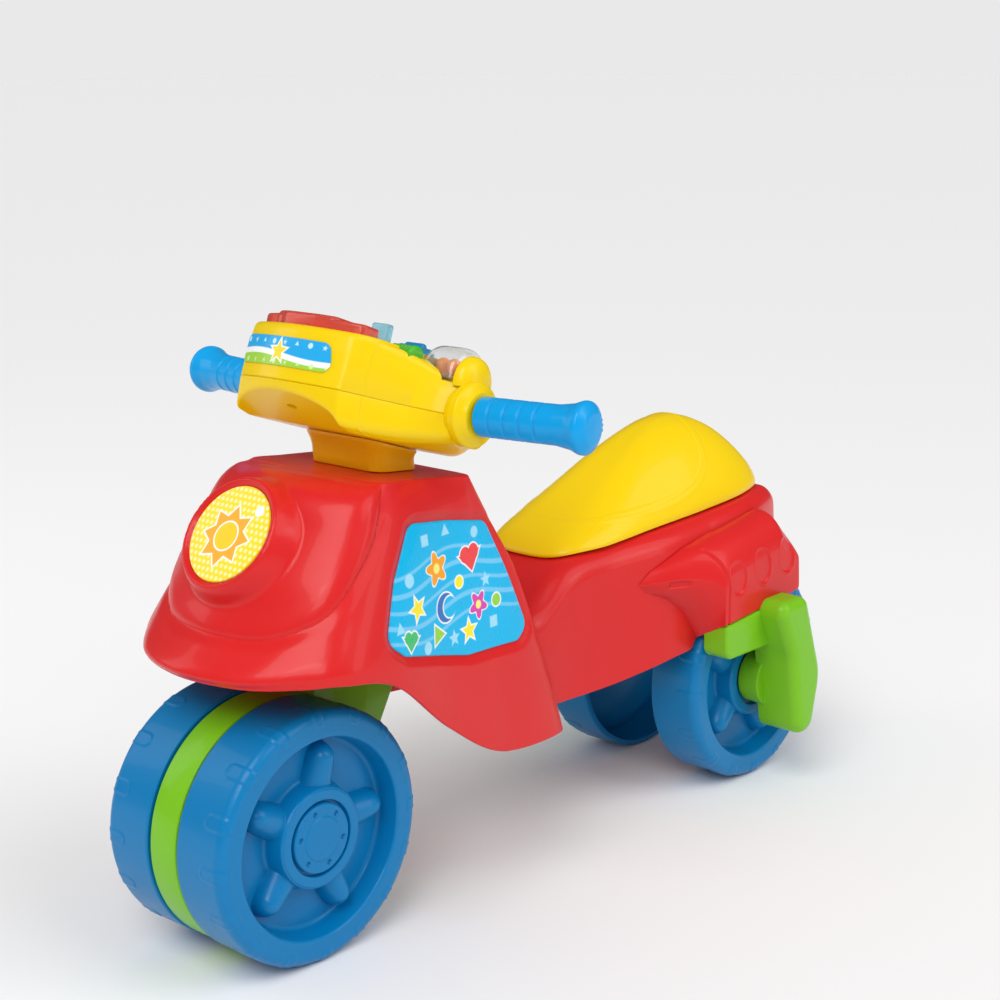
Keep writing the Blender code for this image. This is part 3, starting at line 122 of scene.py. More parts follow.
def grid_faces(rows, columns, closed, start=0):
    """Quads over a grid of points stored row by row; closed joins the last column to the first."""
    last = columns if closed else columns - 1
    i, j = np.meshgrid(np.arange(rows - 1), np.arange(last), indexing="ij")
    k = (j + 1) % columns
    quads = np.stack([i * columns + j, i * columns + k, (i + 1) * columns + k, (i + 1) * columns + j], -1)
    return (quads.reshape(-1, 4) + start).tolist()


def skin(rings):
    """Vertices and faces of a row of closed rings, with a face over each end."""
    rings = np.asarray(rings, float)
    rows, columns = rings.shape[:2]
    faces = grid_faces(rows, columns, True)
    faces.append(list(range(columns))[::-1])
    faces.append([(rows - 1) * columns + k for k in range(columns)])
    return rings.reshape(-1, 3), faces


def join(parts):
    verts, faces, start = [], [], 0
    for v, f in parts:
        v = np.asarray(v, float).reshape(-1, 3)
        verts.append(v)
        faces += [[k + start for k in face] for face in f]
        start += len(v)
    return np.concatenate(verts), faces


def fillet(corners, radii, steps=6, closed=True):
    """An outline or a path with rounded corners."""
    pts = [np.array(p, float) for p in corners]
    count = len(pts)
    if not isinstance(radii, (list, tuple)):
        radii = [radii] * count
    out = []
    for i in range(count):
        if not closed and i in (0, count - 1):
            out.append(pts[i])
            continue
        back, ahead = pts[i - 1] - pts[i], pts[(i + 1) % count] - pts[i]
        lb, la = np.linalg.norm(back), np.linalg.norm(ahead)
        back, ahead = back / lb, ahead / la
        half = math.acos(float(np.clip(back @ ahead, -1, 1))) / 2
        if radii[i] <= 0 or half > 1.55:
            out.append(pts[i])
            continue
        reach = min(radii[i] / math.tan(half), 0.49 * lb, 0.49 * la)
        radius = reach * math.tan(half)
        middle = (back + ahead) / np.linalg.norm(back + ahead)
        centre = pts[i] + middle * (radius / math.sin(half))
        a, b = pts[i] + back * reach - centre, pts[i] + ahead * reach - centre
        for k in range(steps + 1):
            spoke = mix(a, b, k / steps)
            out.append(centre + spoke / np.linalg.norm(spoke) * radius)
    return np.array(out)


def distances(path):
    """How far along a path each of its points lies."""
    return np.concatenate([[0], np.cumsum(np.linalg.norm(np.diff(path, axis=0), axis=1))])


def resample(path, step, closed=False):
    """Points along a path at an even spacing."""
    path = np.asarray(path, float)
    if closed:
        path = np.vstack([path, path[:1]])
    run = distances(path)
    count = max(int(round(run[-1] / step)), 3)
    at = np.linspace(0, run[-1], count + 1)
    if closed:
        at = at[:-1]
    return np.stack([np.interp(at, run, path[:, k]) for k in range(path.shape[1])], 1)


def curve(points, t, mirrored=False):
    """A smooth curve through points; t counts them from 0. Mirrored ends cross x = 0 square."""
    p = np.asarray(points, float)
    if mirrored:
        over = np.ones(p.shape[1])
        over[0] = -1.0
        p = np.vstack([p[1] * over, p, p[-2] * over])
    else:
        p = np.vstack([2 * p[0] - p[1], p, 2 * p[-1] - p[-2]])
    last = len(points) - 2
    i = np.clip(np.floor(t).astype(int), 0, last)
    f = (np.asarray(t, float) - i)[..., None]
    p0, p1, p2, p3 = p[i], p[i + 1], p[i + 2], p[i + 3]
    m1, m2 = (p2 - p0) / 2, (p3 - p1) / 2
    f2, f3 = f * f, f * f * f
    return (2 * f3 - 3 * f2 + 1) * p1 + (f3 - 2 * f2 + f) * m1 + (3 * f2 - 2 * f3) * p2 + (f3 - f2) * m2


def outline_distance(x, y, outline):
    """Signed distance to a closed outline, negative inside."""
    shape = np.shape(x)
    q = np.stack([np.ravel(x), np.ravel(y)], 1)
    best = np.full(len(q), np.inf)
    inside = np.zeros(len(q), bool)
    a = np.asarray(outline, float)
    b = np.roll(a, -1, axis=0)
    for p, r in zip(a, b):
        e = r - p
        w = q - p
        t = np.clip((w @ e) / max(e @ e, 1e-18), 0, 1)
        best = np.minimum(best, np.linalg.norm(w - t[:, None] * e, axis=1))
        crosses = (p[1] > q[:, 1]) != (r[1] > q[:, 1])
        if abs(e[1]) > 1e-18:
            inside ^= crosses & (q[:, 0] < p[0] + (q[:, 1] - p[1]) * e[0] / e[1])
    return np.where(inside, -best, best).reshape(shape)


def lathe(path, sides):
    """Turn a path of (along, radius) points around the X axis."""
    path = np.asarray(path, float)
    turn = np.arange(sides) * 2 * math.pi / sides
    x = np.repeat(path[:, :1], sides, 1)
    y, z = path[:, 1:] * np.sin(turn), path[:, 1:] * np.cos(turn)
    return np.stack([x, y, z], -1)


def turned_faces(grid):
    return grid_faces(grid.shape[0], grid.shape[1], True)


def even(path, count):
    """Points at an even spacing along an open path, without its last one."""
    run = distances(path)
    at = np.linspace(0, run[-1], count + 1)[:-1]
    return np.stack([np.interp(at, run, path[:, k]) for k in (0, 1)], 1)


def slab(outline, low, high, round_low, round_high, place, steps=6):
    """A plate with rounded edges; place turns (level, a, b) into world points."""
    outline = np.asarray(outline, float)
    ahead, back = np.roll(outline, -1, 0), np.roll(outline, 1, 0)
    along = ahead - back
    inward = np.stack([-along[:, 1], along[:, 0]], 1)
    inward /= np.linalg.norm(inward, axis=1)[:, None]
    area = np.sum(outline[:, 0] * ahead[:, 1] - ahead[:, 0] * outline[:, 1])
    inward *= 1 if area > 0 else -1
    rings = [(low + round_low * (1 - math.cos(math.pi / 2 * k / steps)),
              round_low * (1 - math.sin(math.pi / 2 * k / steps))) for k in range(steps + 1)]
    rings += [(high - round_high * (1 - math.sin(math.pi / 2 * k / steps)),
               round_high * (1 - math.cos(math.pi / 2 * k / steps))) for k in range(steps + 1)]
    points = []
    for level, inset in rings:
        flat = outline + inward * inset
        points.append(place(np.full(len(flat), level), flat[:, 0], flat[:, 1]))
    return skin(points)


def prism(outline, low, high, place):
    """A plain plate with square edges."""
    outline = np.asarray(outline, float)
    return skin([place(np.full(len(outline), level), outline[:, 0], outline[:, 1]) for level in (low, high)])


# Materials

BUMP_DEPTH = 0.0003


def feed(tree, socket, value):
    """Give a socket a value, or link it to an output."""
    if isinstance(value, bpy.types.NodeSocket):
        tree.links.new(value, socket)
    else:
        socket.default_value = value


def mixed(tree, a, b, factor, blend="MIX"):
    """The output of a node that mixes two colours."""
    node = tree.nodes.new("ShaderNodeMix")
    node.data_type = "RGBA"
    node.blend_type = blend
    for name, value in (("A", a), ("B", b), ("Factor", factor)):
        feed(tree, node.inputs[name], value)
    return node.outputs["Result"]


def combined(tree, operation, a, b):
    """The output of a node that works out one value from two."""
    node = tree.nodes.new("ShaderNodeMath")
    node.operation = operation
    feed(tree, node.inputs[0], a)
    feed(tree, node.inputs[1], b)
    return node.outputs["Value"]


def noise(tree, coords, scale, detail, rough=0.5):
    node = tree.nodes.new("ShaderNodeTexNoise")
    for name, value in (("Scale", scale), ("Detail", detail), ("Roughness", rough), ("Vector", coords)):
        feed(tree, node.inputs[name], value)
    return node.outputs["Fac"]


def ramp(tree, source, low, high, a, b):
    """A value mapped from one range to another."""
    node = tree.nodes.new("ShaderNodeMapRange")
    for name, value in (("From Min", low), ("From Max", high), ("To Min", a), ("To Max", b),
                        ("Value", source)):
        feed(tree, node.inputs[name], value)
    return node.outputs["Result"]


def plastic(name, colour, rough=0.28, fleck=0.04, coat=0.15, bump=0.12, printed=False, clear=0.0, metal=0.0):
    """Moulded plastic: a slightly uneven colour, fine wear, scuffs and a faint texture."""
    mat = bpy.data.materials.new(name)
    mat.use_nodes = True
    tree = mat.node_tree
    shader = tree.nodes["Principled BSDF"]
    coords = tree.nodes.new("ShaderNodeTexCoord").outputs["Object"]
    base = (*colour, 1.0)
    if printed:
        layer = tree.nodes.new("ShaderNodeVertexColor")
        layer.layer_name = "print"
        base = layer.outputs["Color"]
    shade = ramp(tree, noise(tree, coords, 9, 3), 0.3, 0.7, 1.0 - fleck, 1.0)
    grey = tree.nodes.new("ShaderNodeCombineColor")
    for channel in ("Red", "Green", "Blue"):
        feed(tree, grey.inputs[channel], shade)
    scuffs = noise(tree, coords, 60, 6, 0.7)
    grain = ramp(tree, noise(tree, coords, 420, 4, 0.6), 0.0, 1.0, 0.0, 0.25)
    bumps = tree.nodes.new("ShaderNodeBump")
    bumps.inputs["Strength"].default_value = bump
    bumps.inputs["Distance"].default_value = BUMP_DEPTH
    feed(tree, bumps.inputs["Height"], combined(tree, "ADD", grain, scuffs))
    feed(tree, shader.inputs["Base Color"], mixed(tree, base, grey.outputs["Color"], 1.0, "MULTIPLY"))
    feed(tree, shader.inputs["Roughness"], ramp(tree, scuffs, 0.35, 0.75, rough, rough + 0.10))
    feed(tree, shader.inputs["Normal"], bumps.outputs["Normal"])
    shader.inputs["Metallic"].default_value = metal
    shader.inputs["IOR"].default_value = 1.42
    shader.inputs["Specular IOR Level"].default_value = 0.5 if clear or metal else 0.28
    shader.inputs["Coat Weight"].default_value = coat
    shader.inputs["Coat Roughness"].default_value = 0.06
    shader.inputs["Transmission Weight"].default_value = clear
    return mat


RED = plastic("red_plastic", (0.68, 0.016, 0.017))
YELLOW = plastic("yellow_plastic", (0.88, 0.61, 0.0))
ORANGE = plastic("orange_plastic", (0.97, 0.56, 0.004))
BLUE = plastic("blue_plastic", (0.0, 0.185, 0.45), rough=0.34)
SKY = plastic("sky_plastic", (0.0005, 0.34, 0.76))
GREEN = plastic("green_plastic", (0.19, 0.52, 0.012))
BLACK = plastic("black_plastic", (0.03, 0.03, 0.035), rough=0.5, coat=0.0)
STEEL = plastic("steel", (0.56, 0.56, 0.58), rough=0.3, coat=0.0, metal=1.0)
LABEL = plastic("printed_label", (0.9, 0.9, 0.9), rough=0.25, printed=True, bump=0.04)
CLEAR = plastic("clear_plastic", (0.96, 0.97, 0.98), rough=0.04, fleck=0.01, clear=0.95, bump=0.02)
LENS = plastic("clear_red_plastic", (1.0, 0.16, 0.11), rough=0.12, clear=0.6, bump=0.04)
PALE = plastic("pale_blue_plastic", (0.35, 0.72, 0.90), rough=0.12, clear=0.5, bump=0.04)
BOARD = plastic("board", (0.02, 0.20, 0.07), rough=0.5, coat=0.0)
RUBBER = plastic("grey_rubber", (0.45, 0.45, 0.45), rough=0.7, coat=0.0)
CASE = plastic("battery_case", (0.20, 0.22, 0.26), rough=0.4)


# Printed motifs, as signed distances

def star(x, y, size, points=5, depth=0.45):
    angle = np.arctan2(x, y)
    sector = 2 * math.pi / points
    a = np.abs((angle + sector / 2) % sector - sector / 2)
    r = np.hypot(x, y)
    px, py = r * np.sin(a), r * np.cos(a)
    tip = np.array((0.0, size))
    dent = np.array((size * depth * math.sin(sector / 2), size * depth * math.cos(sector / 2)))
    edge = dent - tip
    normal = np.array((-edge[1], edge[0])) / np.linalg.norm(edge)
    return (px - tip[0]) * normal[0] + (py - tip[1]) * normal[1]


def disc(x, y, size):
    return np.hypot(x, y) - size


def heart(x, y, size):
    lobes = np.minimum(np.hypot(x - size * 0.42, y - size * 0.25),
                       np.hypot(x + size * 0.42, y - size * 0.25)) - size * 0.52
    point = np.maximum(np.abs(x) * 0.74 - (y + size * 0.92) * 0.66, y - size * 0.32)
    return np.minimum(lobes, point)


def square(x, y, size):
    return np.maximum(np.abs(x), np.abs(y)) - size


def triangle(x, y, size):
    return np.maximum(np.abs(x) * 0.866 + y * 0.5, -y) - size * 0.5


def flower(x, y, size):
    angle = np.arctan2(x, y)
    return np.hypot(x, y) - size * (0.78 + 0.22 * np.cos(5 * angle))


def moon(x, y, size):
    return np.maximum(np.hypot(x, y) - size, size * 0.82 - np.hypot(x - size * 0.45, y - size * 0.1))


def ground(like, tone):
    """One colour at every point of a grid."""
    return np.zeros(like.shape + (3,)) + np.array(tone)


def paint(base, distance, colour, width=0.0003):
    """Lay a colour over another inside a motif, with a soft edge."""
    cover = np.clip(0.5 - distance / (2 * width), 0, 1)[..., None]
    return base * (1 - cover) + np.array(colour) * cover


# Wheels

SPOKES = 5
SPOKE_PHASE = math.radians(12)
HUB_SEAT = 0.0050


def wheel_path():
    """Section from the inner edge over the tread and across the dished outer face to the hub's middle."""
    w = WHEEL_W
    floor = w - 0.0150
    corners = [(0.0005, WHEEL_R - 0.004), (0.0005, WHEEL_R), (w, WHEEL_R), (w, 0.0625), (floor, 0.0600),
               (floor, 0.0335), (w - 0.0015, 0.0312), (w - 0.0015, 0.0240), (w - HUB_SEAT, 0.0234),
               (w - HUB_SEAT, 0.0220)]
    radii = [0, 0.0012, 0.0065, 0.0020, 0.0030, 0.0025, 0.0022, 0.0005, 0.0005, 0]
    return resample(fillet(corners, radii, 8, closed=False), 0.00065)


def wheel_mesh(side):
    path = wheel_path()
    sides = 512
    grid = lathe(path, sides)
    turn = np.arange(sides) * 2 * math.pi / sides
    along, radius = np.meshgrid(path[:, 0], turn, indexing="ij")[0], np.repeat(path[:, 1:], sides, 1)
    angle = np.repeat(turn[None, :], len(path), 0)
    pitch = 2 * math.pi / SPOKES
    s = ((angle - SPOKE_PHASE + pitch / 2) % pitch - pitch / 2)
    across, out = radius * np.sin(s), radius * np.cos(s)
    half = mix(0.0122, 0.0088, np.clip((out - 0.024) / 0.026, 0, 1))
    beyond = np.maximum(out - 0.0475, 0) / 0.0095
    share = (across / half) ** 2 + beyond ** 2
    ridge = WHEEL_W - 0.0148 + 0.0120 * np.sqrt(np.clip(1 - share, 0, 1))
    ridge = ridge - 0.0018 * np.clip((0.045 - out) / 0.02, 0, 1)
    dish = (radius < 0.0612) & (radius > 0.0300) & (along < WHEEL_W - 0.0016)
    raised = np.where(dish & (share < 1.0), soft_max(ridge, along, 0.0012), along)
    grid[..., 0] = np.where(dish, np.minimum(raised, WHEEL_W - 0.0022), along)

    lug_pitch = 2 * math.pi / LUGS
    a = ((angle + lug_pitch / 2) % lug_pitch - lug_pitch / 2) * WHEEL_R
    run = distances(path)
    face_run = run[np.argmin(np.abs(path[:, 0] - WHEEL_W) + np.abs(path[:, 1] - (WHEEL_R - 0.0065)))]
    run = np.repeat(run[:, None], sides, 1)
    start = face_run - 0.0215
    tab = np.hypot(a, np.minimum(run - (start + 0.0036), 0)) - 0.0036
    tab = np.maximum(tab, run - (face_run + 0.0015))
    line = LUG_H * (1 - smooth(0.0, 0.0008, tab)) - 0.5 * LUG_H * (1 - smooth(0.0, 0.0008, tab + 0.0012))
    ahead = np.gradient(path, axis=0)
    normal = np.stack([-ahead[:, 1], ahead[:, 0]], 1)
    normal /= np.linalg.norm(normal, axis=1)[:, None]
    grid[..., 0] += line * normal[:, :1]
    swell = line * normal[:, 1:]
    grid[..., 1] += swell * np.sin(angle)
    grid[..., 2] += swell * np.cos(angle)

    inner = [(WHEEL_W - HUB_SEAT, 0.0045), (0.0006, 0.0045), (0.0006, 0.0085), (WHEEL_W - 0.0190, 0.0085),
             (WHEEL_W - 0.0190, 0.0590), (WHEEL_W - 0.0100, WHEEL_R - 0.004), (0.0005, WHEEL_R - 0.004)]
    seat = [(WHEEL_W - HUB_SEAT, 0.0220), (WHEEL_W - HUB_SEAT, 0.0045)]
    verts, faces = join([(g, turned_faces(g)) for g in (grid, lathe(inner, 128), lathe(seat, 128))])
    verts[:, 0] *= side
    return verts, faces


def cap_mesh(side):
    """Round hub cap with a raised middle and six small dimples."""
    low = WHEEL_W - HUB_SEAT
    top = WHEEL_W - 0.0008
    corners = [(low, 0.0218), (top, 0.0216), (top, 0.0140), (top + 0.0007, 0.0132), (top + 0.0007, 0.0)]
    path = resample(fillet(corners, [0, 0.0012, 0.0006, 0.0006, 0], 5, closed=False), 0.0003)
    sides = 240
    grid = lathe(path, sides)
    pitch = math.pi / 3
    angle = np.arange(sides) * 2 * math.pi / sides
    a = (angle + pitch / 2 + 0.3) % pitch - pitch / 2
    hole = np.hypot(path[:, 1:] * np.sin(a), path[:, 1:] * np.cos(a) - 0.0172)
    grid[..., 0] -= 0.0016 * (1 - smooth(0.0011, 0.0018, hole))
    grid[..., 0] *= side
    return grid, turned_faces(grid)


for side, word, short in ((1, "left", "l"), (-1, "right", "r")):
    wheel, cap = wheel_mesh(side), cap_mesh(side)
    for piece, (verts, faces), body, place in (
            ("front_wheel", wheel, "front_wheel_", (side * FRONT_INNER_X, FRONT_Y, AXLE_Z)),
            ("rear_wheel", wheel, "rear_wheel_", (side * REAR_INNER_X, REAR_Y, AXLE_Z)),
            ("hub_cap", cap, "front_wheel_", (side * FRONT_INNER_X, FRONT_Y, AXLE_Z))):
        make(piece + "_look_" + word, verts + np.array(place), faces, BLUE, body + short,
             [piece + "_" + word], "blue_plastic", 40, outward=False)


# Front fairing

DECK_OUTLINE = ((0.0, 0.045), (0.030, 0.045), (0.057, 0.050), (0.0585, 0.073), (0.0595, 0.091),
                (0.0605, 0.106), (0.0615, 0.117), (0.057, 0.124), (0.030, 0.125), (0.0, 0.125))
SKIRT_OUTLINE = ((0.0, -0.057, 0.184), (0.043, -0.048, 0.184), (0.071, -0.029, 0.1855),
                 (0.086, -0.009, 0.186), (0.088, 0.031, 0.176), (0.081, 0.082, 0.135),
                 (0.077, 0.135, 0.1035), (0.070, 0.201, 0.097), (0.040, 0.207, 0.096), (0.0, 0.209, 0.096))
FRONT_PROFILE = ((0.0, 0.0), (0.31, 0.04), (0.46, 0.23), (0.66, 0.49), (0.80, 0.74), (1.02, 0.935),
                 (1.0, 1.0))
SIDE_PROFILE = ((0.0, 0.0), (0.24, 0.10), (0.43, 0.28), (0.60, 0.47), (0.77, 0.67), (0.98, 0.91), (1.0, 1.0))
REAR_PROFILE = ((0.0, 0.0), (0.11, 0.08), (0.29, 0.21), (0.49, 0.36), (0.64, 0.52), (0.86, 0.79), (1.0, 1.0))
CREASE = ((0.0, 4.14), (0.40, 4.13), (0.80, 4.13), (1.22, 4.12), (1.85, 3.98), (2.26, 3.62), (2.56, 2.92),
          (2.74, 2.06), (2.63, 1.26), (2.30, 0.50), (2.03, 0.0))
PANEL_CORNERS = ((0.0695, -0.1507, 0.2654), (0.0674, -0.1149, 0.2603), (0.0650, -0.0765, 0.2528),
                 (0.0673, -0.0620, 0.2227), (0.0694, -0.0425, 0.1775), (0.0710, -0.0545, 0.1692),
                 (0.0749, -0.1052, 0.1725), (0.0849, -0.1700, 0.1895), (0.0844, -0.1855, 0.2010),
                 (0.0770, -0.1712, 0.2350))


def fairing_surface(u, v):
    """Points of the left half; u from the nose to the back, v from the deck to the lower edge."""
    top, low = curve(DECK_OUTLINE, u, True), curve(SKIRT_OUTLINE, u, True)
    top_z = DECK_Z - (top[..., 1] - DECK_START) * math.tan(DECK_SLOPE)
    a, b, c = curve(FRONT_PROFILE, v), curve(SIDE_PROFILE, v), curve(REAR_PROFILE, v)
    shape = mix(mix(a, b, smooth(0.5, 2.4, u)[..., None]), c, smooth(4.6, 7.0, u)[..., None])
    plan = top + (low[..., :2] - top) * shape[..., :1]
    z = top_z + (low[..., 2] - top_z) * shape[..., 1]
    return np.stack([plan[..., 0], FRONT_Y + plan[..., 1], z], -1)


def fairing_uv(points):
    """The surface coordinates nearest to some points on the left half."""
    u, v = np.meshgrid(np.linspace(0, 9, 361), np.linspace(0, 6, 241), indexing="ij")
    p = fairing_surface(u, v).reshape(-1, 3)
    found = []
    for q in np.asarray(points, float):
        k = int(np.argmin(np.sum((p - q) ** 2, 1)))
        found.append((u.ravel()[k], v.ravel()[k]))
    return np.array(found)


def surface_normals(p):
    n = np.cross(np.gradient(p, axis=0), np.gradient(p, axis=1))
    n /= np.maximum(np.linalg.norm(n, axis=2, keepdims=True), 1e-12)
    return n


# Radius and height of the round bezel over the headlight disc's face
BEZEL = ((0.0, -0.0014), (0.0312, -0.0014), (0.0318, -0.0011), (0.0326, 0.0004), (0.0340, 0.0012),
         (0.0356, 0.0007), (0.0372, -0.0018), (0.0390, -0.0058), (0.0410, -0.0110), (0.0435, -0.0185),
         (0.0460, -0.027), (0.060, -0.080))
panel_outline = resample(fillet([tuple(p) for p in PANEL_CORNERS], 0.010, 8), 0.0012, closed=True)
panel_uv = fairing_uv(panel_outline)


def nearest_gap(points, line):
    """Distance from every point to the nearest point of a dense line."""
    flat = points.reshape(-1, points.shape[-1])
    best = np.full(len(flat), np.inf)
    for q in line:
        best = np.minimum(best, np.sum((flat - q) ** 2, 1))
    return np.sqrt(best).reshape(points.shape[:-1])


def panel_side(y, z):
    """Signed distance to the side panel's outline, in the side view."""
    return outline_distance(y, z, panel_outline[:, 1:])


def panel_recess(d):
    """How far the side panel's recess lies back, by the distance to its outline."""
    return -0.0030 * (1 - smooth(-0.0005, 0.0060, d))


def fairing_half():
    u = np.concatenate([np.linspace(0, 6.3, 190), np.linspace(6.3, 9, 40)[1:]])
    v = np.concatenate([np.linspace(0, 0.12, 8), np.linspace(0.12, 6, 170)[1:]])
    vv, uu = np.meshgrid(v, u, indexing="ij")
    p = fairing_surface(uu, vv)
    n = surface_normals(p)
    n *= np.sign(np.sum(n * (p - np.array((0.0, FRONT_Y + 0.07, 0.2))), axis=2, keepdims=True))

    dense = curve(CREASE, np.linspace(0, len(CREASE) - 1, 160))
    line = fairing_surface(dense[:, 0], dense[:, 1])
    gap = nearest_gap(p, line)
    beyond = (CREASE[-1][0], -1.0), (-1.0, -1.0), (-1.0, CREASE[0][1])
    inside = outline_distance(uu, vv, np.vstack([dense, beyond])) < 0
    rise = np.sqrt(np.clip(1 - (1 - np.clip(gap / 0.011, 0, 1)) ** 2, 0, 1))
    groove = np.where(inside, 0.0034 * rise - 0.0010, -0.0010 * (1 - smooth(0.0, 0.010, gap)))
    fade = smooth(0.0, 0.5, vv)
    p = p + n * (groove * fade)[..., None]

    d = panel_side(p[..., 1], p[..., 2])
    side_wall = (uu > 2.3) & (uu < 7.2)
    recess = panel_recess(d) * side_wall
    p = p + n * recess[..., None]
    inner = (p - n * 0.0026)[np.flatnonzero(v > 0.3)[::-1][::4]]

    q = p - HEADLIGHT
    h = q @ HEADLIGHT_FACING
    rho = np.linalg.norm(q - h[..., None] * HEADLIGHT_FACING, axis=2)
    ring = np.interp(rho, *zip(*BEZEL))
    near = (rho < 0.056) & (h > -0.08)
    lifted = soft_max(h, ring, 0.004)
    flat = rho < 0.0312
    lifted = np.where(flat, ring, lifted)
    p = np.where(near[..., None], p + (lifted - h)[..., None] * HEADLIGHT_FACING, p)
    return p, inner


def mirror_ring(half):
    """Close rows of left half points into full rings."""
    other = half[:, 1:-1][:, ::-1] * np.array((-1.0, 1.0, 1.0))
    return np.concatenate([half, other], axis=1)


def relax(rings, rows, times):
    """Round an edge by evening out some rows."""
    for _ in range(times):
        middle = rings.copy()
        for r in rows:
            middle[r] = 0.25 * rings[r - 1] + 0.5 * rings[r] + 0.25 * rings[r + 1]
        rings = middle
    return rings


def fairing_mesh():
    """Deck, wall, rounded lower edge, and the inner side up to the deck's underside."""
    wall, inner = fairing_half()
    centre = np.array((0.0, FRONT_Y + COLUMN_BACK, 0.0))

    def deck_row(edge, share, depth):
        row = centre + (edge - centre) * share
        row[:, 2] = DECK_Z - depth - (row[:, 1] - FRONT_Y - DECK_START) * math.tan(DECK_SLOPE)
        return row

    shares = (0.25, 0.5, 0.7, 0.85, 0.93, 0.955, 0.97, 0.98, 0.988, 0.994)
    deck = [deck_row(wall[0], share, 0.0) for share in shares]
    half = np.concatenate([np.array(deck), wall])
    count = len(deck)
    half = relax(half, list(range(count - 4, count + 6)), 10)
    low, low_inner = half[-1], inner[0]
    middle, reach = (low + low_inner) / 2, (low - low_inner) / 2
    bend = np.linalg.norm(reach, axis=1)[:, None] * np.array((0.0, 0.0, -0.8))
    lip = [middle + reach * math.cos(t) + bend * math.sin(t) for t in np.linspace(0.3, math.pi - 0.3, 6)]
    under = [deck_row(inner[-1], share, 0.003) for share in (0.97, 0.7, 0.3)]
    half = np.concatenate([half, np.array(lip), inner, np.array(under)])
    half[:, 0, 0] = 0.0
    half[:, -1, 0] = 0.0
    return skin(mirror_ring(half))


make("fairing_look", *fairing_mesh(), RED, "body", ["front_fairing"], "red_plastic", 50)


WHITE = (0.98, 0.98, 0.96)
DOT_PITCH = 0.0040
SUN_PLACE = (-0.001, -0.002)


def headlight_look():
    """Headlight disc: pale dots on yellow with a plain sun, and a small white disc at the top right as a
    painted highlight.
    """
    radii = np.concatenate([np.linspace(0.0, 0.0305, 120), [0.0309]])
    rho, angle = np.meshgrid(radii, np.arange(360) * 2 * math.pi / 360, indexing="ij")
    x, y = rho * np.sin(angle), rho * np.cos(angle)
    lift = 0.0006 * (1 - (rho / 0.031) ** 2) - 0.0008 * (rho > 0.0307) - 0.0004
    p = HEADLIGHT + x[..., None] * LEFT + y[..., None] * HEADLIGHT_UP + lift[..., None] * HEADLIGHT_FACING
    row = np.round(y / DOT_PITCH)
    shifted = x - 0.5 * DOT_PITCH * (row % 2)
    dots = np.hypot(shifted - np.round(shifted / DOT_PITCH) * DOT_PITCH, y - row * DOT_PITCH) - 0.00115
    colour = ground(x, (0.93, 0.72, 0.0))
    colour = paint(colour, dots, (0.98, 0.93, 0.45), 0.0006)
    across, up = x - SUN_PLACE[0], y - SUN_PLACE[1]
    sun = star(across, up, 0.0195, 8, 0.66)
    # The last entry, a small white disc up at the top right, is a painted highlight.
    for distance, tone in ((sun - 0.0010, WHITE), (sun, (0.93, 0.42, 0.01)),
                           (disc(across, up, 0.0098), WHITE), (disc(across, up, 0.0088), (0.95, 0.62, 0.0)),
                           (disc(x - 0.017, y - 0.017, 0.0034), WHITE)):
        colour = paint(colour, distance, tone, 0.00025)
    make("headlight_look", p, turned_faces(p), LABEL, "body", ["headlight_disc"], "yellow_label", 60,
         colour.reshape(-1, 3), outward=False)


headlight_look()

# Handlebar housing, in its own tilted frame

DASH_FRONT = 0.0735
SEAM = -0.0030
DASH_BULGE = 0.013
DASH_REAR = 0.026
DASH_HALF = 0.0505
ARM_HALF = 0.085
BAR_Y = -0.0086
DASH_TOP = 0.032
ARM_TOP = 0.0195
DASH_BOTTOM = 0.0255
COLLAR_T = 0.0115
GRIP_SWEEP = math.radians(8.2)
GRIP_RISE = math.radians(2.9)


def dash(x, y, z):
    x, y, z = np.broadcast_arrays(np.asarray(x, float), y, z)
    return DASH_O + x[..., None] * LEFT + y[..., None] * DASH_Y + z[..., None] * DASH_Z


def along_dash(level, x, y):
    return dash(x, y, level)


def dash_front(x):
    x = np.abs(x)
    middle = -DASH_FRONT - DASH_BULGE * (1 - (np.minimum(x, DASH_HALF) / DASH_HALF) ** 2)
    back = BAR_Y - 0.0165
    share = np.clip((ARM_HALF - x) / (ARM_HALF - DASH_HALF), 0, 1)
    arm = back + (-DASH_FRONT + 0.0005 - back) * share ** 1.7
    corner = 0.009 * smooth(DASH_HALF - 0.010, DASH_HALF + 0.0005, x) ** 2
    return np.where(x <= DASH_HALF, middle + corner, arm + 0.0065 * smooth(0, 1, share) ** 2 + 0.003)


def dash_rear(x):
    return mix(DASH_REAR, BAR_Y + 0.0195, smooth(0.056, 0.083, np.abs(x)))


def dash_top(x):
    x = np.abs(x)
    fall = mix(DASH_TOP, ARM_TOP, smooth(DASH_HALF - 0.004, ARM_HALF, x))
    return fall - 0.0015 * smooth(DASH_HALF - 0.0004, DASH_HALF + 0.0004, x)


def dash_low(x):
    return mix(-DASH_BOTTOM, -ARM_TOP, smooth(DASH_HALF, ARM_HALF, np.abs(x)))


def dash_columns():
    half = [np.linspace(0.0, 0.046, 40), np.linspace(0.0462, 0.0502, 14), [0.05045, 0.05055, 0.0508, 0.0512],
            np.linspace(0.0518, ARM_HALF, 40)]
    x = np.concatenate([np.asarray(h) for h in half])
    return np.concatenate([-x[:0:-1], x])


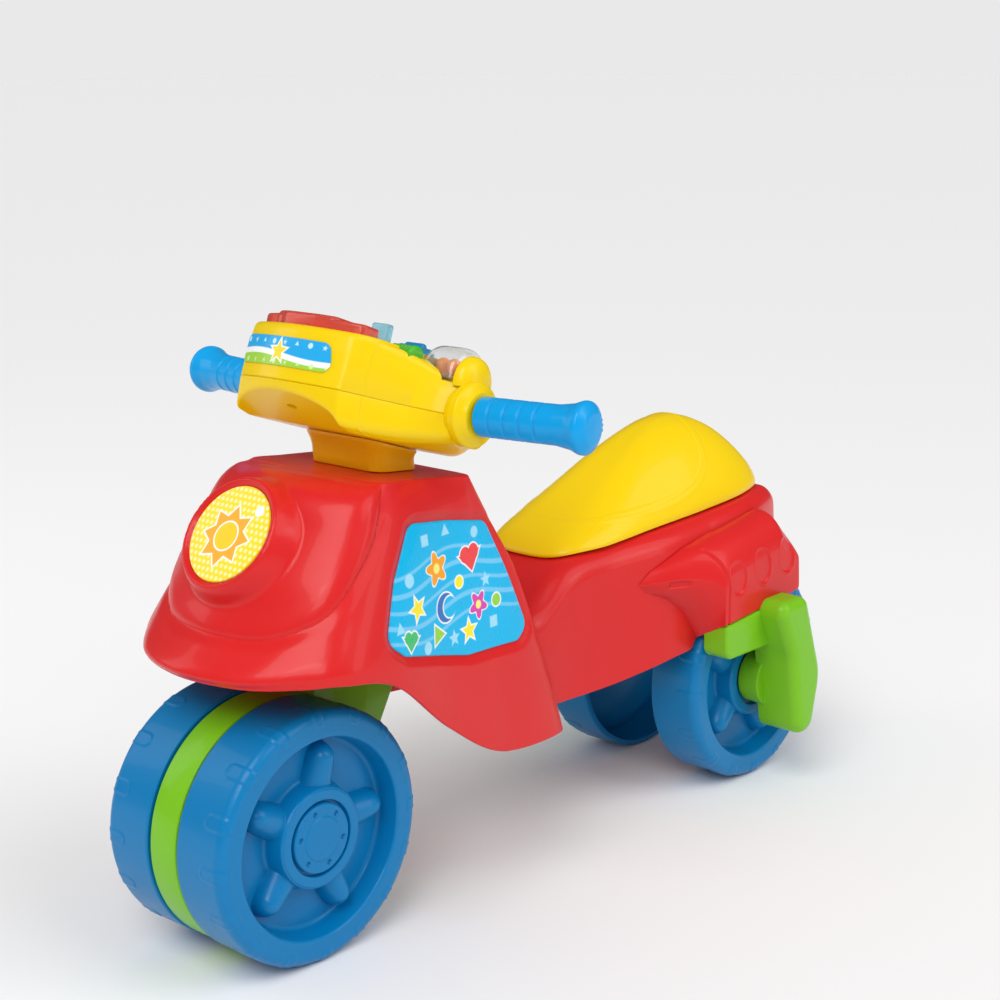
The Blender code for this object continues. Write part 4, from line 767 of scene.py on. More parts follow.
def housing_mesh(upper):
    """One half of the housing, as a row of rings from side to side."""
    rings = []
    for x in dash_columns():
        front, rear = float(dash_front(x)), float(dash_rear(x))
        seam = 0.0005
        if upper:
            top = float(dash_top(x))
            corners = [(front + seam, SEAM + 0.0001), (front + seam, SEAM + 0.0003), (front, SEAM + 0.0007),
                       (front + 0.0012, top * 0.6), (front + 0.0035, top), (rear - 0.001, top - 0.002),
                       (rear, SEAM + 0.0007), (rear - seam, SEAM + 0.0003), (rear - seam, SEAM + 0.0001)]
            radii = [0, 0, 0, 0.03, 0.0055, 0.009, 0, 0, 0]
        else:
            low = float(dash_low(x))
            cowl = 1 - float(smooth(DASH_HALF - 0.006, ARM_HALF, abs(x)))
            chin = 0.003 + 0.0140 * math.sqrt(max(1 - (x / 0.044) ** 2, 0.0))
            bulk = 1 - float(smooth(DASH_HALF - 0.010, DASH_HALF + 0.026, abs(x)))
            corners = [(front + seam, SEAM - 0.0001), (front + seam, SEAM - 0.0003), (front, SEAM - 0.0007),
                       (front + 0.0012, low + chin),
                       (front + 0.004 + chin + 0.5 * (chin - 0.003) + 0.006 * cowl, low),
                       (rear - 0.001, low), (rear, SEAM - 0.0007), (rear - seam, SEAM - 0.0003),
                       (rear - seam, SEAM - 0.0001)]
            radii = [0, 0, 0, mix(0.014, 0.004, bulk), mix(0.012, 0.005, bulk), mix(0.012, 0.007, bulk),
                     0, 0, 0]
        path = fillet(corners, radii, 7, closed=False)
        wall = path[3:-3]
        step = 1.0e-9 + distances(wall)[-1] / 120
        ring = np.vstack([path[:3], resample(wall, step), path[-3:]])
        rings.append(dash(x, ring[:, 0], ring[:, 1]))
    return skin(rings)


def carve(obj, mesh):
    """Cut a mesh out of a piece, for good."""
    tool = bpy.data.objects.new("tool", mesh)
    bpy.context.scene.collection.objects.link(tool)
    step = obj.modifiers.new("carve", "BOOLEAN")
    step.operation = "DIFFERENCE"
    step.solver = "EXACT"
    step.object = tool
    graph = bpy.context.evaluated_depsgraph_get()
    done = bpy.data.meshes.new_from_object(obj.evaluated_get(graph))
    obj.modifiers.clear()
    old = obj.data
    obj.data = done
    bpy.data.meshes.remove(old)
    bpy.data.objects.remove(tool)
    obj.data.set_sharp_from_angle(angle=math.radians(40))


def solid(verts, faces):
    mesh = bpy.data.meshes.new("tool")
    mesh.from_pydata(np.asarray(verts, float).reshape(-1, 3).tolist(), [],
                     [list(map(int, f)) for f in faces])
    mesh.update()
    if volume(mesh) < 0:
        mesh.flip_normals()
    return mesh


upper = make("upper_housing_look", *housing_mesh(True), YELLOW, "steering", ["upper_housing"],
             "yellow_plastic", 45)
lower = make("lower_housing_look", *housing_mesh(False), YELLOW, "steering", ["lower_housing"],
             "yellow_plastic", 45)

DOME_X = (0.050, 0.081)
DOME_Y = -0.008
DOME_R = 0.0175
DOME_BASE = 0.0215
HUMP_R = 0.0152
WELL_GAP = 0.0004
ABOVE_DASH = 0.06
# Wells for the bead dome, the blue roller and the green roller: ends in x, ends in y, and floor
WELLS = (((DOME_X[0] - WELL_GAP, DOME_X[1] + WELL_GAP),
          (DOME_Y - DOME_R - WELL_GAP, DOME_Y + DOME_R + WELL_GAP), 0.0165),
         ((0.024, 0.042), (-0.0245, 0.0025), 0.015),
         ((0.0365, 0.0595), (-0.0422, -0.0258), 0.0165))
for (x0, x1), (y0, y1), floor in WELLS:
    carve(upper, solid(*prism(((x0, y0), (x1, y0), (x1, y1), (x0, y1)), floor, ABOVE_DASH, along_dash)))

CHIN_TILT = math.radians(-27)
slot_v, slot_f = prism(fillet(((-0.004, -0.0022), (0.004, -0.0022), (0.004, 0.0022), (-0.004, 0.0022)),
                              0.00215, 6), -0.010, 0.006,
                      lambda l, a, b: dash(a, -0.0705 + b * math.cos(CHIN_TILT) - l * math.sin(CHIN_TILT),
                                           -0.0180 + b * math.sin(CHIN_TILT) + l * math.cos(CHIN_TILT)))
carve(lower, solid(slot_v, slot_f))


def collar(side, word):
    path = fillet([(-0.006, 0.0150), (-0.004, 0.0170), (-0.0005, 0.0180), (0.0005, 0.0197),
                   (0.0062, 0.0197), (0.0075, 0.0178), (0.0090, 0.0158), (0.0112, 0.0140), (0.0112, 0.0070)],
                  [0, 0.003, 0.0006, 0.0026, 0.0026, 0.002, 0.004, 0.0004, 0], 6, closed=False)
    g = lathe(resample(path, 0.0007), 128)
    x = side * (ARM_HALF + g[..., 0])
    make("collar_look_" + word, dash(x, BAR_Y + g[..., 1], g[..., 2]), turned_faces(g), YELLOW,
         "steering", slot="yellow_plastic", outward=False)


def bar_place(side, g):
    """Points of a turned piece placed on one swept end of the bar."""
    direction = np.array((side * math.cos(GRIP_SWEEP), math.sin(GRIP_SWEEP), math.tan(GRIP_RISE)))
    direction /= np.linalg.norm(direction)
    up = np.array((0.0, 0.0, 1.0)) - direction[2] * direction
    up /= np.linalg.norm(up)
    other = np.cross(up, direction)
    p = g[..., :1] * direction + g[..., 1:2] * other + g[..., 2:] * up
    return dash(side * (ARM_HALF + COLLAR_T) + p[..., 0], BAR_Y + p[..., 1], p[..., 2])


def grip(side, word):
    start, end = 0.0008, 0.0768
    knob = end - 0.0200
    corners = [(start - 0.001, 0.0070), (start - 0.001, 0.0112), (start, 0.0120)]
    radii = [0, 0.0005, 0.0005]
    for k in range(4):
        x = start + 0.0085 + k * 0.0105
        corners += [(x, 0.0120), (x + 0.0006, 0.0113), (x + 0.0018, 0.0113), (x + 0.0024, 0.0120)]
        radii += [0.0005] * 4
    corners += [(knob - 0.004, 0.0120), (knob + 0.0065, 0.0136), (knob + 0.0125, 0.0158),
                (end - 0.0045, 0.0158), (end - 0.0008, 0.0100), (end, 0.0)]
    radii += [0.02, 0.012, 0.003, 0.005, 0.008, 0]
    path = resample(fillet(corners, radii, 8, closed=False), 0.0005)
    sides = 192
    g = lathe(path, sides)
    angle = np.arange(sides) * 2 * math.pi / sides
    pitch = math.radians(17)
    a = angle - np.clip(np.round((angle - 0.9) / pitch), -2, 2) * pitch - 0.9
    dots = np.hypot(path[:, 1:] * np.sin(a), path[:, 1:] * np.cos(a) - 0.0108)
    bump = 0.0005 * (1 - smooth(0.0003, 0.0009, dots)) * (path[:, :1] > end - 0.006)
    g[..., 0] += bump
    make("grip_look_" + word, bar_place(side, g), turned_faces(g), SKY, "steering", ["grip_" + word],
         "sky_plastic", 40)


for side, word in ((1, "left"), (-1, "right")):
    collar(side, word)
    grip(side, word)


def lens_outline(half, front, side_y, rear):
    corners = ((-half, side_y), (-half * 0.5, front), (half * 0.5, front), (half, side_y),
               (half - 0.005, rear), (-half + 0.005, rear))
    return fillet(corners, [0.005, 0.02, 0.02, 0.005, 0.005, 0.005], 6)


base = slab(lens_outline(0.0440, -0.0755, -0.0665, -0.048), DASH_TOP - 0.004, DASH_TOP + 0.0062, 0.0003,
            0.0022, along_dash)
middle = slab(lens_outline(0.0265, -0.0770, -0.0735, -0.047), DASH_TOP - 0.004, DASH_TOP + 0.0080, 0.0003,
              0.0026, along_dash)
make("lamp_look", *join([base, middle]), LENS, "lamp", ["lamp_lens"], "clear_red_plastic", 40)
page = slab(fillet(((0.013, -0.032), (0.027, -0.032), (0.027, -0.026), (0.013, -0.026)), 0.0012, 5),
            DASH_TOP - 0.0030, DASH_TOP + 0.0128, 0.0003, 0.0016, along_dash)
make("page_look", *page, PALE, "page", ["page_button"], "pale_blue_plastic", 40)


def toothed(radius, width, teeth, depth, edge):
    """A thumb wheel with a toothed rim, along its own X axis."""
    sides = teeth * 12
    path = resample(fillet([(-width / 2, 0.0), (-width / 2, radius), (width / 2, radius), (width / 2, 0.0)],
                           [0, edge, edge, 0], 4, closed=False), 0.0006)
    g = lathe(path, sides)
    angle = np.arange(sides) * 2 * math.pi / sides
    wave = depth * (0.5 - 0.5 * np.clip(1.8 * np.cos(teeth * angle), -1, 1))
    rim = smooth(radius - 0.004, radius, path[:, 1:])
    scale = 1 - wave * rim / np.maximum(path[:, 1:], 1e-6)
    g[..., 1] *= scale
    g[..., 2] *= scale
    return g, turned_faces(g)


def set_in(g, place):
    """Points of a turned piece with its middle at a place of the housing."""
    return dash(place[0] + g[..., 0], place[1] + g[..., 1], place[2] + g[..., 2])


g, faces = toothed(0.0125, 0.016, 9, 0.0016, 0.002)
make("blue_roller_look", set_in(g, (0.033, -0.011, 0.0255)), faces,
     plastic("clear_blue_plastic", (0.02, 0.42, 0.85), rough=0.1, clear=0.5, bump=0.03),
     "roller_b", ["blue_roller"], "sky_plastic")


def ringed(radius, width, rings, depth):
    """A small roller with ring grooves along its X axis and a short shaft at both ends."""
    x = np.linspace(-width / 2, width / 2, 161)
    groove = depth * smooth(0.55, 1.0, np.abs(np.cos(math.pi * rings * (x / width + 0.5))))
    soft = 0.0012
    inward = np.clip((width / 2 - np.abs(x)) / soft, 0, 1)
    edge = soft * (1 - np.sqrt(np.clip(1 - (1 - inward) ** 2, 0, 1)))
    path = np.stack([x, radius - groove - edge], 1)
    path = np.vstack([[(-width / 2 - 0.003, 0.0), (-width / 2 - 0.003, 0.0015), (-width / 2, 0.0015)], path,
                      [(width / 2, 0.0015), (width / 2 + 0.003, 0.0015), (width / 2 + 0.003, 0.0)]])
    sides = 180
    g = lathe(path, sides)
    wave = 1 - 0.035 * (0.5 + 0.5 * np.cos(20 * np.arange(sides) * 2 * math.pi / sides))
    body = path[:, 1:] > 0.003
    g[..., 1] *= np.where(body, wave, 1.0)
    g[..., 2] *= np.where(body, wave, 1.0)
    return g, turned_faces(g)


g, faces = ringed(0.0075, 0.020, 7, 0.0012)
make("green_roller_look", set_in(g, (0.048, -0.034, 0.0260)), faces,
     plastic("clear_green_plastic", (0.10, 0.58, 0.03), rough=0.12, clear=0.2, bump=0.03),
     "roller_g", ["green_roller"], "green_plastic")


def dome():
    """Clear rounded cover with soft ends."""
    count = 61
    x = np.linspace(-1, 1, count)
    turn = np.linspace(-0.5, 0.5, count) * math.pi
    xx, tt = np.meshgrid(x, turn, indexing="ij")

    def shell(r, inset):
        length = (DOME_X[1] - DOME_X[0]) / 2 - inset
        shrink = (1 - np.abs(xx) ** 5) ** 0.2
        return dash((DOME_X[0] + DOME_X[1]) / 2 + xx * length, DOME_Y + r * shrink * np.sin(tt),
                    DOME_BASE - 0.003 + (r + 0.003) * np.maximum(shrink, 0.02) * np.cos(tt))

    a, b = shell(DOME_R, 0.0), shell(DOME_R - 0.0013, 0.0013)
    faces = grid_faces(count, count, False)
    return join([(a, faces), (b, [f[::-1] for f in faces])])


make("bead_dome_look", *dome(), CLEAR, "steering", ["bead_dome"], "clear_plastic", 60)

ROD_X = (0.0503, 0.0807)
BEAD_PITCH = (0.031 - 0.0006 - 0.0044) / 3
BEAD_Z = 0.0265
bead_parts = []
for k in range(3):
    t = np.linspace(0, math.pi, 40)
    g = lathe(np.stack([-0.0040 * np.cos(t), 0.0052 * np.sin(t)], 1), 64)
    centre = ROD_X[0] + 0.0022 + BEAD_PITCH * (k + 0.5)
    bead_parts.append((set_in(g, (centre, DOME_Y, BEAD_Z)), turned_faces(g)))
rod = lathe([(ROD_X[0], 0.0015), (ROD_X[1], 0.0015)], 24)
bead_parts.append((set_in(rod, (0.0, DOME_Y, BEAD_Z)), turned_faces(rod)))
make("bead_spinner_look", *join(bead_parts), plastic("bead_plastic", (0.95, 0.30, 0.02), rough=0.2),
     "beads", ["bead_spinner"], "orange_plastic", 60, outward=False)


def hump():
    """Yellow end wall that closes the dome's outer side."""
    x = np.linspace(0, 1, 24)
    turn = np.linspace(-0.58, 0.58, 49) * math.pi
    rings = []
    for s in x:
        shrink = math.sqrt(max(1 - s ** 2.4, 0.0))
        r = HUMP_R * max(shrink, 0.001)
        rings.append(dash(0.0805 + 0.0098 * s, DOME_Y + r * np.sin(turn),
                          DOME_BASE - 0.003 + (r + 0.001 * shrink) * np.cos(turn)))
    return np.array(rings), grid_faces(len(x), len(turn), False)


make("dome_end_look", *hump(), YELLOW, "steering", slot="yellow_plastic", outward=False)

# Neck

NECK_X = 0.0315
NECK_Y = 0.0190


def neck_mesh():
    """Stem from the deck up to the housing, with a soft flare at its top."""
    corners = ((-NECK_X, -NECK_Y), (NECK_X, -NECK_Y), (NECK_X, NECK_Y), (-NECK_X, NECK_Y))
    outline = fillet(corners, 0.0095, 10)
    base_z = DECK_Z - (COLUMN_BACK - DECK_START) * math.tan(DECK_SLOPE)
    base = np.array((0.0, FRONT_Y + COLUMN_BACK, base_z)) + DECK_BACK * 0.0035
    floor = -DASH_BOTTOM - 0.0003
    centre_y = float((base + 0.03 * DECK_UP - DASH_O) @ DASH_Y)

    def ring(share, grow):
        sx, sy = 1 + grow / NECK_X, 1 + grow / NECK_Y
        low = base + outline[:, :1] * sx * LEFT + outline[:, 1:] * sy * DECK_BACK + 0.0003 * DECK_UP
        top = dash(outline[:, 0] * sx, centre_y + outline[:, 1] * sy, np.full(len(outline), floor))
        return mix(low, top, share)

    steps = ((0.0, -0.0004), (0.02, 0.0), (0.3, 0.0002), (0.55, 0.0004), (0.70, 0.0010), (0.82, 0.0018),
             (0.90, 0.0024), (0.97, 0.0024), (1.0, 0.0018))
    return skin([ring(share, grow) for share, grow in steps])


make("neck_look", *neck_mesh(), ORANGE, "steering", ["neck"], "orange_plastic", 40)

# Fork plate between the wheel halves

def fork_mesh():
    radius = 0.0785
    angles = [math.radians(66) + math.radians(306) * k / 120 for k in range(121)]
    outline = [(FRONT_Y + radius * math.cos(a), AXLE_Z + radius * math.sin(a)) for a in angles]
    column = FRONT_Y + COLUMN_BACK - math.tan(DECK_SLOPE) * (0.2864 - 0.160)
    rear = column + 0.026
    outline += [(rear - 0.012, 0.120), (rear, 0.142), (rear - 0.002, 0.165), (column + 0.016, 0.212),
                (column - 0.016, 0.212), (column - 0.036, 0.180)]
    plate_part = slab(resample(np.array(outline), 0.0012, closed=True), -0.0118, 0.0118, 0.0012, 0.0012,
                      lambda l, a, b: np.stack([l, a, b], -1), 4)
    base = np.array((0.0, FRONT_Y + COLUMN_BACK, 0.28643))
    g = lathe([(-0.118, 0.0), (-0.118, 0.0145), (-0.1165, 0.0163), (-0.063, 0.0163), (-0.063, 0.0125)], 64)
    tube = base + g[..., :1] * DECK_UP + g[..., 1:2] * LEFT + g[..., 2:] * DECK_BACK
    return join([plate_part, (tube, turned_faces(g))])


make("fork_look", *fork_mesh(), GREEN, "steering", ["fork"], "green_plastic", 40)

# Cowl sticker and side panels

def cowl_sticker():
    """Printed label across the housing's nose: a star over three waves of colour."""
    outline = fillet(((-0.0455, 0.0050), (-0.0430, 0.0230), (0.0330, 0.0230), (0.0375, 0.0050)), 0.006, 6)
    xs, zs = np.linspace(-0.0458, 0.0380, 420), np.linspace(0.0045, 0.0235, 120)
    xx, zz = np.meshgrid(xs, zs, indexing="ij")
    y = dash_front(xx) + 0.0012 * np.clip(zz / (DASH_TOP * 0.6), 0, 1)
    y = y + 0.0023 * smooth(0.018, 0.034, zz) - 0.0005
    colour = ground(xx, (0.02, 0.40, 0.80))
    wave = zz - 0.0130 + 0.0016 * np.sin(xx * 70) + 0.02 * xx
    colour = paint(colour, wave, (0.93, 0.95, 0.95))
    colour = paint(colour, wave + 0.0034, (0.36, 0.66, 0.06))
    for k in range(9):
        x = -0.040 + k * 0.010
        shape = (disc, star, triangle)[k % 3]
        colour = paint(colour, shape(xx - x, zz - 0.0195, 0.0017), (0.55, 0.82, 0.95))
        colour = paint(colour, shape(xx - x - 0.004, zz - 0.0075, 0.0015), (0.66, 0.86, 0.40))
    big = star(xx + 0.004, zz - 0.0138, 0.0072)
    colour = paint(paint(colour, big - 0.0008, (0.95, 0.95, 0.95)), big, (0.90, 0.70, 0.02))
    keep = outline_distance(xx, zz, outline) < 0
    faces = [f for f in grid_faces(len(xs), len(zs), False) if keep.ravel()[f[0]] and keep.ravel()[f[2]]]
    make("cowl_sticker", dash(xx, y, zz), faces, LABEL, "steering", slot="blue_label", angle=80,
         colours=colour.reshape(-1, 3), outward=False)


cowl_sticker()


# The panel's pale shapes: place (y, z), shape and size. Its bright ones have a colour and a turn too.
PALE_MOTIFS = ((-0.158, 0.232, disc, 0.0042), (-0.139, 0.252, square, 0.0034),
               (-0.118, 0.2535, triangle, 0.0046), (-0.090, 0.2475, disc, 0.0036),
               (-0.172, 0.206, triangle, 0.0046), (-0.146, 0.188, disc, 0.0040),
               (-0.118, 0.187, star, 0.0056), (-0.078, 0.188, square, 0.0036), (-0.083, 0.216, star, 0.0052))
GOLD, LEAF = (0.95, 0.80, 0.02), (0.30, 0.65, 0.06)
MOTIFS = ((-0.1300, 0.2330, flower, 0.0105, (0.93, 0.36, 0.01), 0.2),
          (-0.0965, 0.2330, heart, 0.0098, (0.85, 0.06, 0.06), 0.1),
          (-0.1530, 0.2140, star, 0.0078, GOLD, 0.3),
          (-0.1240, 0.2075, moon, 0.0090, (0.03, 0.16, 0.50), -0.3),
          (-0.0920, 0.2020, flower, 0.0090, (0.70, 0.06, 0.42), 0.6),
          (-0.1630, 0.1970, heart, 0.0072, (0.05, 0.52, 0.16), -0.2),
          (-0.1030, 0.1880, star, 0.0072, GOLD, 0.0), (-0.0740, 0.2010, disc, 0.0040, LEAF, 0.0),
          (-0.1090, 0.2200, disc, 0.0036, GOLD, 0.0), (-0.1340, 0.1930, triangle, 0.0072, LEAF, 0.4))


def side_panel(side, word):
    """Printed label on one side of the fairing, set in its recess."""
    lo, hi = panel_uv.min(0) - 0.05, panel_uv.max(0) + 0.05
    count = 420
    uu, vv = np.meshgrid(np.linspace(lo[0], hi[0], count), np.linspace(lo[1], hi[1], count), indexing="ij")
    p = fairing_surface(uu, vv)
    n = surface_normals(p)
    n *= np.sign(n[..., :1])
    d = panel_side(p[..., 1], p[..., 2]) + 0.0004
    recess = panel_recess(d - 0.0004)
    edge = np.clip(-d / 0.0010, 0, 1)
    p = p + n * (recess + 0.0001 + 0.0009 * np.sqrt(1 - (1 - edge) ** 2))[..., None]
    y, z = p[..., 1], p[..., 2]
    colour = ground(y, (0.0, 0.47, 0.82))
    for k in range(5):
        level = 0.197 + 0.0105 * k
        band = np.abs(z - level - 0.0042 * np.sin((y + 0.12) * 62 + 0.35 * k)) - 0.0011 - 0.0004 * (k % 2)
        colour = paint(colour, band, (0.16, 0.58, 0.88), 0.0004)
    for a, b, shape, s in PALE_MOTIFS:
        colour = paint(colour, shape(y - a, z - b, s), (0.35, 0.72, 0.92))
    for a, b, shape, s, tone, turn in MOTIFS:
        c, q = math.cos(turn), math.sin(turn)
        x0, z0 = (y - a) * c + (z - b) * q, -(y - a) * q + (z - b) * c
        motif = shape(x0, z0, s)
        colour = paint(paint(colour, motif - 0.0009, (0.96, 0.96, 0.96)), motif, tone)
        if shape is flower:
            colour = paint(colour, disc(x0, z0, s * 0.3), (0.95, 0.85, 0.2))
    step = 0.00002
    rim = np.abs(d) < 0.0010
    for axis, slope in ((1, (step, 0.0)), (2, (0.0, step))):
        ahead = panel_side(y[rim] + slope[0], z[rim] + slope[1])
        back = panel_side(y[rim] - slope[0], z[rim] - slope[1])
        p[rim, axis] -= (ahead - back) / (2 * step) * np.clip(d[rim], 0.0, None)
    keep = (d < 0.0007).ravel()
    core = (d < 0.0).ravel()
    faces = [f for f in grid_faces(count, count, False)
             if all(keep[k] for k in f) and any(core[k] for k in f)]
    p = p * np.array((side, 1.0, 1.0))
    make("side_panel_look_" + word, p, faces, LABEL, "body", ["side_panel_" + word], "blue_label", 80,
         colour.reshape(-1, 3), outward=False)


side_panel(1, "left")
side_panel(-1, "right")

# Rear body, seat, engine covers and brackets

# Distance behind the rear axle, and the body's half width, lower edge and top there
BODY_STATIONS = ((-0.262, 0.044, 0.116, 0.170), (-0.222, 0.046, 0.106, 0.172),
                 (-0.185, 0.047, 0.104, 0.197), (-0.145, 0.053, 0.106, 0.203),
                 (-0.100, 0.064, 0.114, 0.2075), (-0.060, 0.068, 0.122, 0.211),
                 (-0.010, 0.069, 0.150, 0.215), (0.035, 0.058, 0.162, 0.2165),
                 (0.052, 0.047, 0.165, 0.206), (0.066, 0.034, 0.168, 0.1895),
                 (0.0735, 0.023, 0.170, 0.180))
SEAT_OUTLINE = ((0.0, -0.186), (0.030, -0.180), (0.045, -0.150), (0.051, -0.100), (0.056, -0.050),
                (0.0565, -0.006), (0.047, 0.028), (0.026, 0.042), (0.0, 0.045))
SEAT_CROWN = 0.0585
SEAT_PROFILE = ((1.0, 0.0), (0.99, 0.10), (0.90, 0.30), (0.72, 0.56), (0.52, 0.78), (0.31, 0.93),
                (0.12, 1.0), (0.0, 1.015))
SEAT_LINE = ((0.0, -0.019), (0.022, -0.0225), (0.040, -0.030), (0.0480, -0.045), (0.0495, -0.070),
             (0.0460, -0.100), (0.0395, -0.130), (0.0265, -0.152), (0.0, -0.160))
body_table = curve(BODY_STATIONS, np.linspace(0, len(BODY_STATIONS) - 1, 600))


def body_at(offset, column):
    return np.interp(offset, body_table[:, 0], body_table[:, column])


def facing_out(part):
    """Turn a closed part's faces so that they look outwards."""
    mesh = solid(*part)
    faces = [list(p.vertices) for p in mesh.polygons]
    bpy.data.meshes.remove(mesh)
    return part[0], faces


def along_x(l, a, b):
    return np.stack([l, REAR_Y + a, b], -1)


def rear_body_mesh():
    arch = WHEEL_R + 0.0057
    offsets = np.concatenate([np.linspace(-0.262, 0.030, 150), np.linspace(0.032, 0.0735, 40)])
    outer, inner = [], []
    for y in offsets:
        half, low, high = (float(body_at(y, k)) for k in (1, 2, 3))
        over = AXLE_Z + math.sqrt(max(arch ** 2 - y * y, 0.0))
        low = float(soft_max(low, over, 0.003))
        corner = min(0.017, (high - low) * 0.35, half * 0.5)
        for rows, wall in ((outer, 0.0), (inner, 0.003)):
            h, top, r = half - wall, high - wall, corner - wall * 0.5
            path = fillet(((-h, low), (-h - 0.0006, (low + top) / 2), (-h + 0.001, top), (h - 0.001, top),
                           (h + 0.0006, (low + top) / 2), (h, low)),
                          [0, 0.05, r, r, 0.05, 0], 14, closed=False)
            at = min(y, 0.0705) if wall else y
            rows.append(along_x(path[:, 0], np.full(len(path), at), path[:, 1]))
    outer, inner = np.array(outer), np.array(inner)
    rows, columns = outer.shape[:2]
    tail = outer[-1]
    middle = tail.mean(0) + np.array((0.0, 0.0, -0.001))
    caps = [middle + (tail - middle) * k + np.array((0.0, push, 0.0))
            for k, push in ((0.93, 0.0008), (0.75, 0.0016), (0.4, 0.0022))]
    shell = np.concatenate([outer, caps])
    verts, faces = shell.reshape(-1, 3), grid_faces(len(shell), columns, False)
    faces.append([(len(shell) - 1) * columns + k for k in range(columns)])
    start = len(verts)
    faces += [f[::-1] for f in grid_faces(rows, columns, False, start)]
    for r in range(rows - 1):
        a, b = r * columns, (r + 1) * columns
        faces.append([b, a, start + a, start + b])
        a, b = a + columns - 1, b + columns - 1
        faces.append([a, b, start + b, start + a])
    parts = [(np.concatenate([verts, inner.reshape(-1, 3)]), faces)]
    rib = fillet(((-0.100, 0.125), (-0.100, 0.2055), (0.030, 0.2160), (0.030, 0.150), (0.016, 0.076),
                  (0.010, 0.066), (-0.010, 0.066), (-0.016, 0.076)),
                 [0.004, 0.002, 0.002, 0.010, 0.004, 0.008, 0.008, 0.004], 5)
    for side in (1, -1):
        parts.append(facing_out(slab(rib, side * 0.0235 - (0.004 if side < 0 else 0),
                                     side * 0.0235 + (0.004 if side > 0 else 0),
                                     0.0005, 0.0005, along_x, 3)))
    return join(parts)


make("rear_body_look", *rear_body_mesh(), RED, "body", ["rear_body"], "red_plastic", 50, outward=False)


def seat_mesh():
    t = np.linspace(0, len(SEAT_OUTLINE) - 1, 260)
    edge = curve(SEAT_OUTLINE, t, True)
    edge[0, 0] = edge[-1, 0] = 0.0
    rows = curve(SEAT_PROFILE, np.concatenate([np.linspace(0, 1, 16), np.linspace(1, 7, 110)[1:]]))
    centre = np.array((0.0, -0.030))
    plan = centre + (edge[None] - centre) * rows[:, None, :1]
    lift = rows[:, 1:2] * (0.6 + 0.4 * smooth(-0.17, -0.03, plan[..., 1])) * SEAT_CROWN
    z = body_at(plan[..., 1], 3) + 0.0015 + lift
    line = resample(curve(SEAT_LINE, np.linspace(0, len(SEAT_LINE) - 1, 200), True), 0.0008)
    z = z + 0.00045 * (1 - smooth(0.0004, 0.0013, np.abs(nearest_gap(plan, line) - 0.0012)))
    half = np.stack([plan[..., 0], REAR_Y + plan[..., 1], z], -1)
    under = [np.stack([c[:, 0], REAR_Y + c[:, 1], body_at(c[:, 1], 3) + 0.0015], -1)
             for c in (centre + (edge - centre) * k for k in (0.3, 0.7, 0.97))]
    half = np.concatenate([np.array(under), half])
    half[:, 0, 0] = half[:, -1, 0] = 0.0
    return skin(mirror_ring(relax(half, [2, 3, 4], 2)))


make("seat_look", *seat_mesh(), YELLOW, "body", ["seat"], "yellow_plastic", 60)

POD_X = 0.0693
POD_OUTER = 0.0947
POD_STEP = -0.0745
POD_LOW = 0.139
POD_RISE = 0.085
LEG_OUTLINE = ((-0.008, 0.042), (0.012, 0.042), (0.0225, 0.086), (0.001, 0.149), (-0.037, 0.149),
               (-0.016, 0.104), (-0.012, 0.070))
LEG_CORNERS = [0.012, 0.014, 0.040, 0.009, 0.009, 0.030, 0.020]
DIMPLES = ((-0.0595, 0.1721), (-0.0290, 0.1743), (0.0015, 0.1762))


def pod_low(y):
    return POD_LOW + POD_RISE * (y - POD_STEP)


# Stretches of the cover's outline where it meets the body, and of its outer face: corners, radii and points
COVER_ROOT = (
    (((-0.0713, 0.1241), (-0.0700, 0.1390), (-0.055, 0.1407), (0.026, 0.1475)), (0, 0.004, 0.03, 0), 140),
    (((0.026, 0.1475), (0.024, 0.186), (-0.002, 0.209), (-0.004, 0.209)), (0, 0.022, 0.010, 0), 80),
    (((-0.004, 0.209), (-0.064, 0.2005), (-0.090, 0.1945), (-0.107, 0.187), (-0.119, 0.182),
      (-0.128, 0.174)), (0, 0.06, 0.04, 0.03, 0.02, 0), 120),
    (((-0.128, 0.174), (-0.121, 0.167), (-0.105, 0.1605), (-0.0883, 0.1483), (-0.0713, 0.1241)),
     (0, 0.012, 0.03, 0.03, 0), 140))
COVER_FACE = (
    (((POD_STEP, POD_LOW), (0.0195, pod_low(0.0195))), (0, 0), 140),
    (((0.0195, pod_low(0.0195)), (0.0175, 0.186), (-0.002, 0.2085), (-0.004, 0.2085)),
     (0, 0.022, 0.010, 0), 80),
    (((-0.004, 0.2085), (-0.0705, 0.199), (POD_STEP, 0.180)), (0, 0.012, 0), 120),
    (((POD_STEP, 0.180), (POD_STEP, POD_LOW)), (0, 0), 140))
# Distance out from the body, share of the way to the outer face, and fall of the shoulder
COVER_LEVELS = ((0.0, 0.0, 0.0), (0.006, 0.20, 0.0003), (0.012, 0.46, 0.0022), (0.0174, 0.70, 0.0065),
                (0.0215, 0.87, 0.0125), (0.0240, 0.96, 0.0185), (0.0254, 1.0, 0.0245))
COVER_GROOVE = ((-0.0700, 0.134), (-0.0700, 0.158), (-0.0702, 0.170), (-0.0745, 0.184), (-0.0840, 0.198))
COVER_SLOT = (-0.1045, 0.1720)


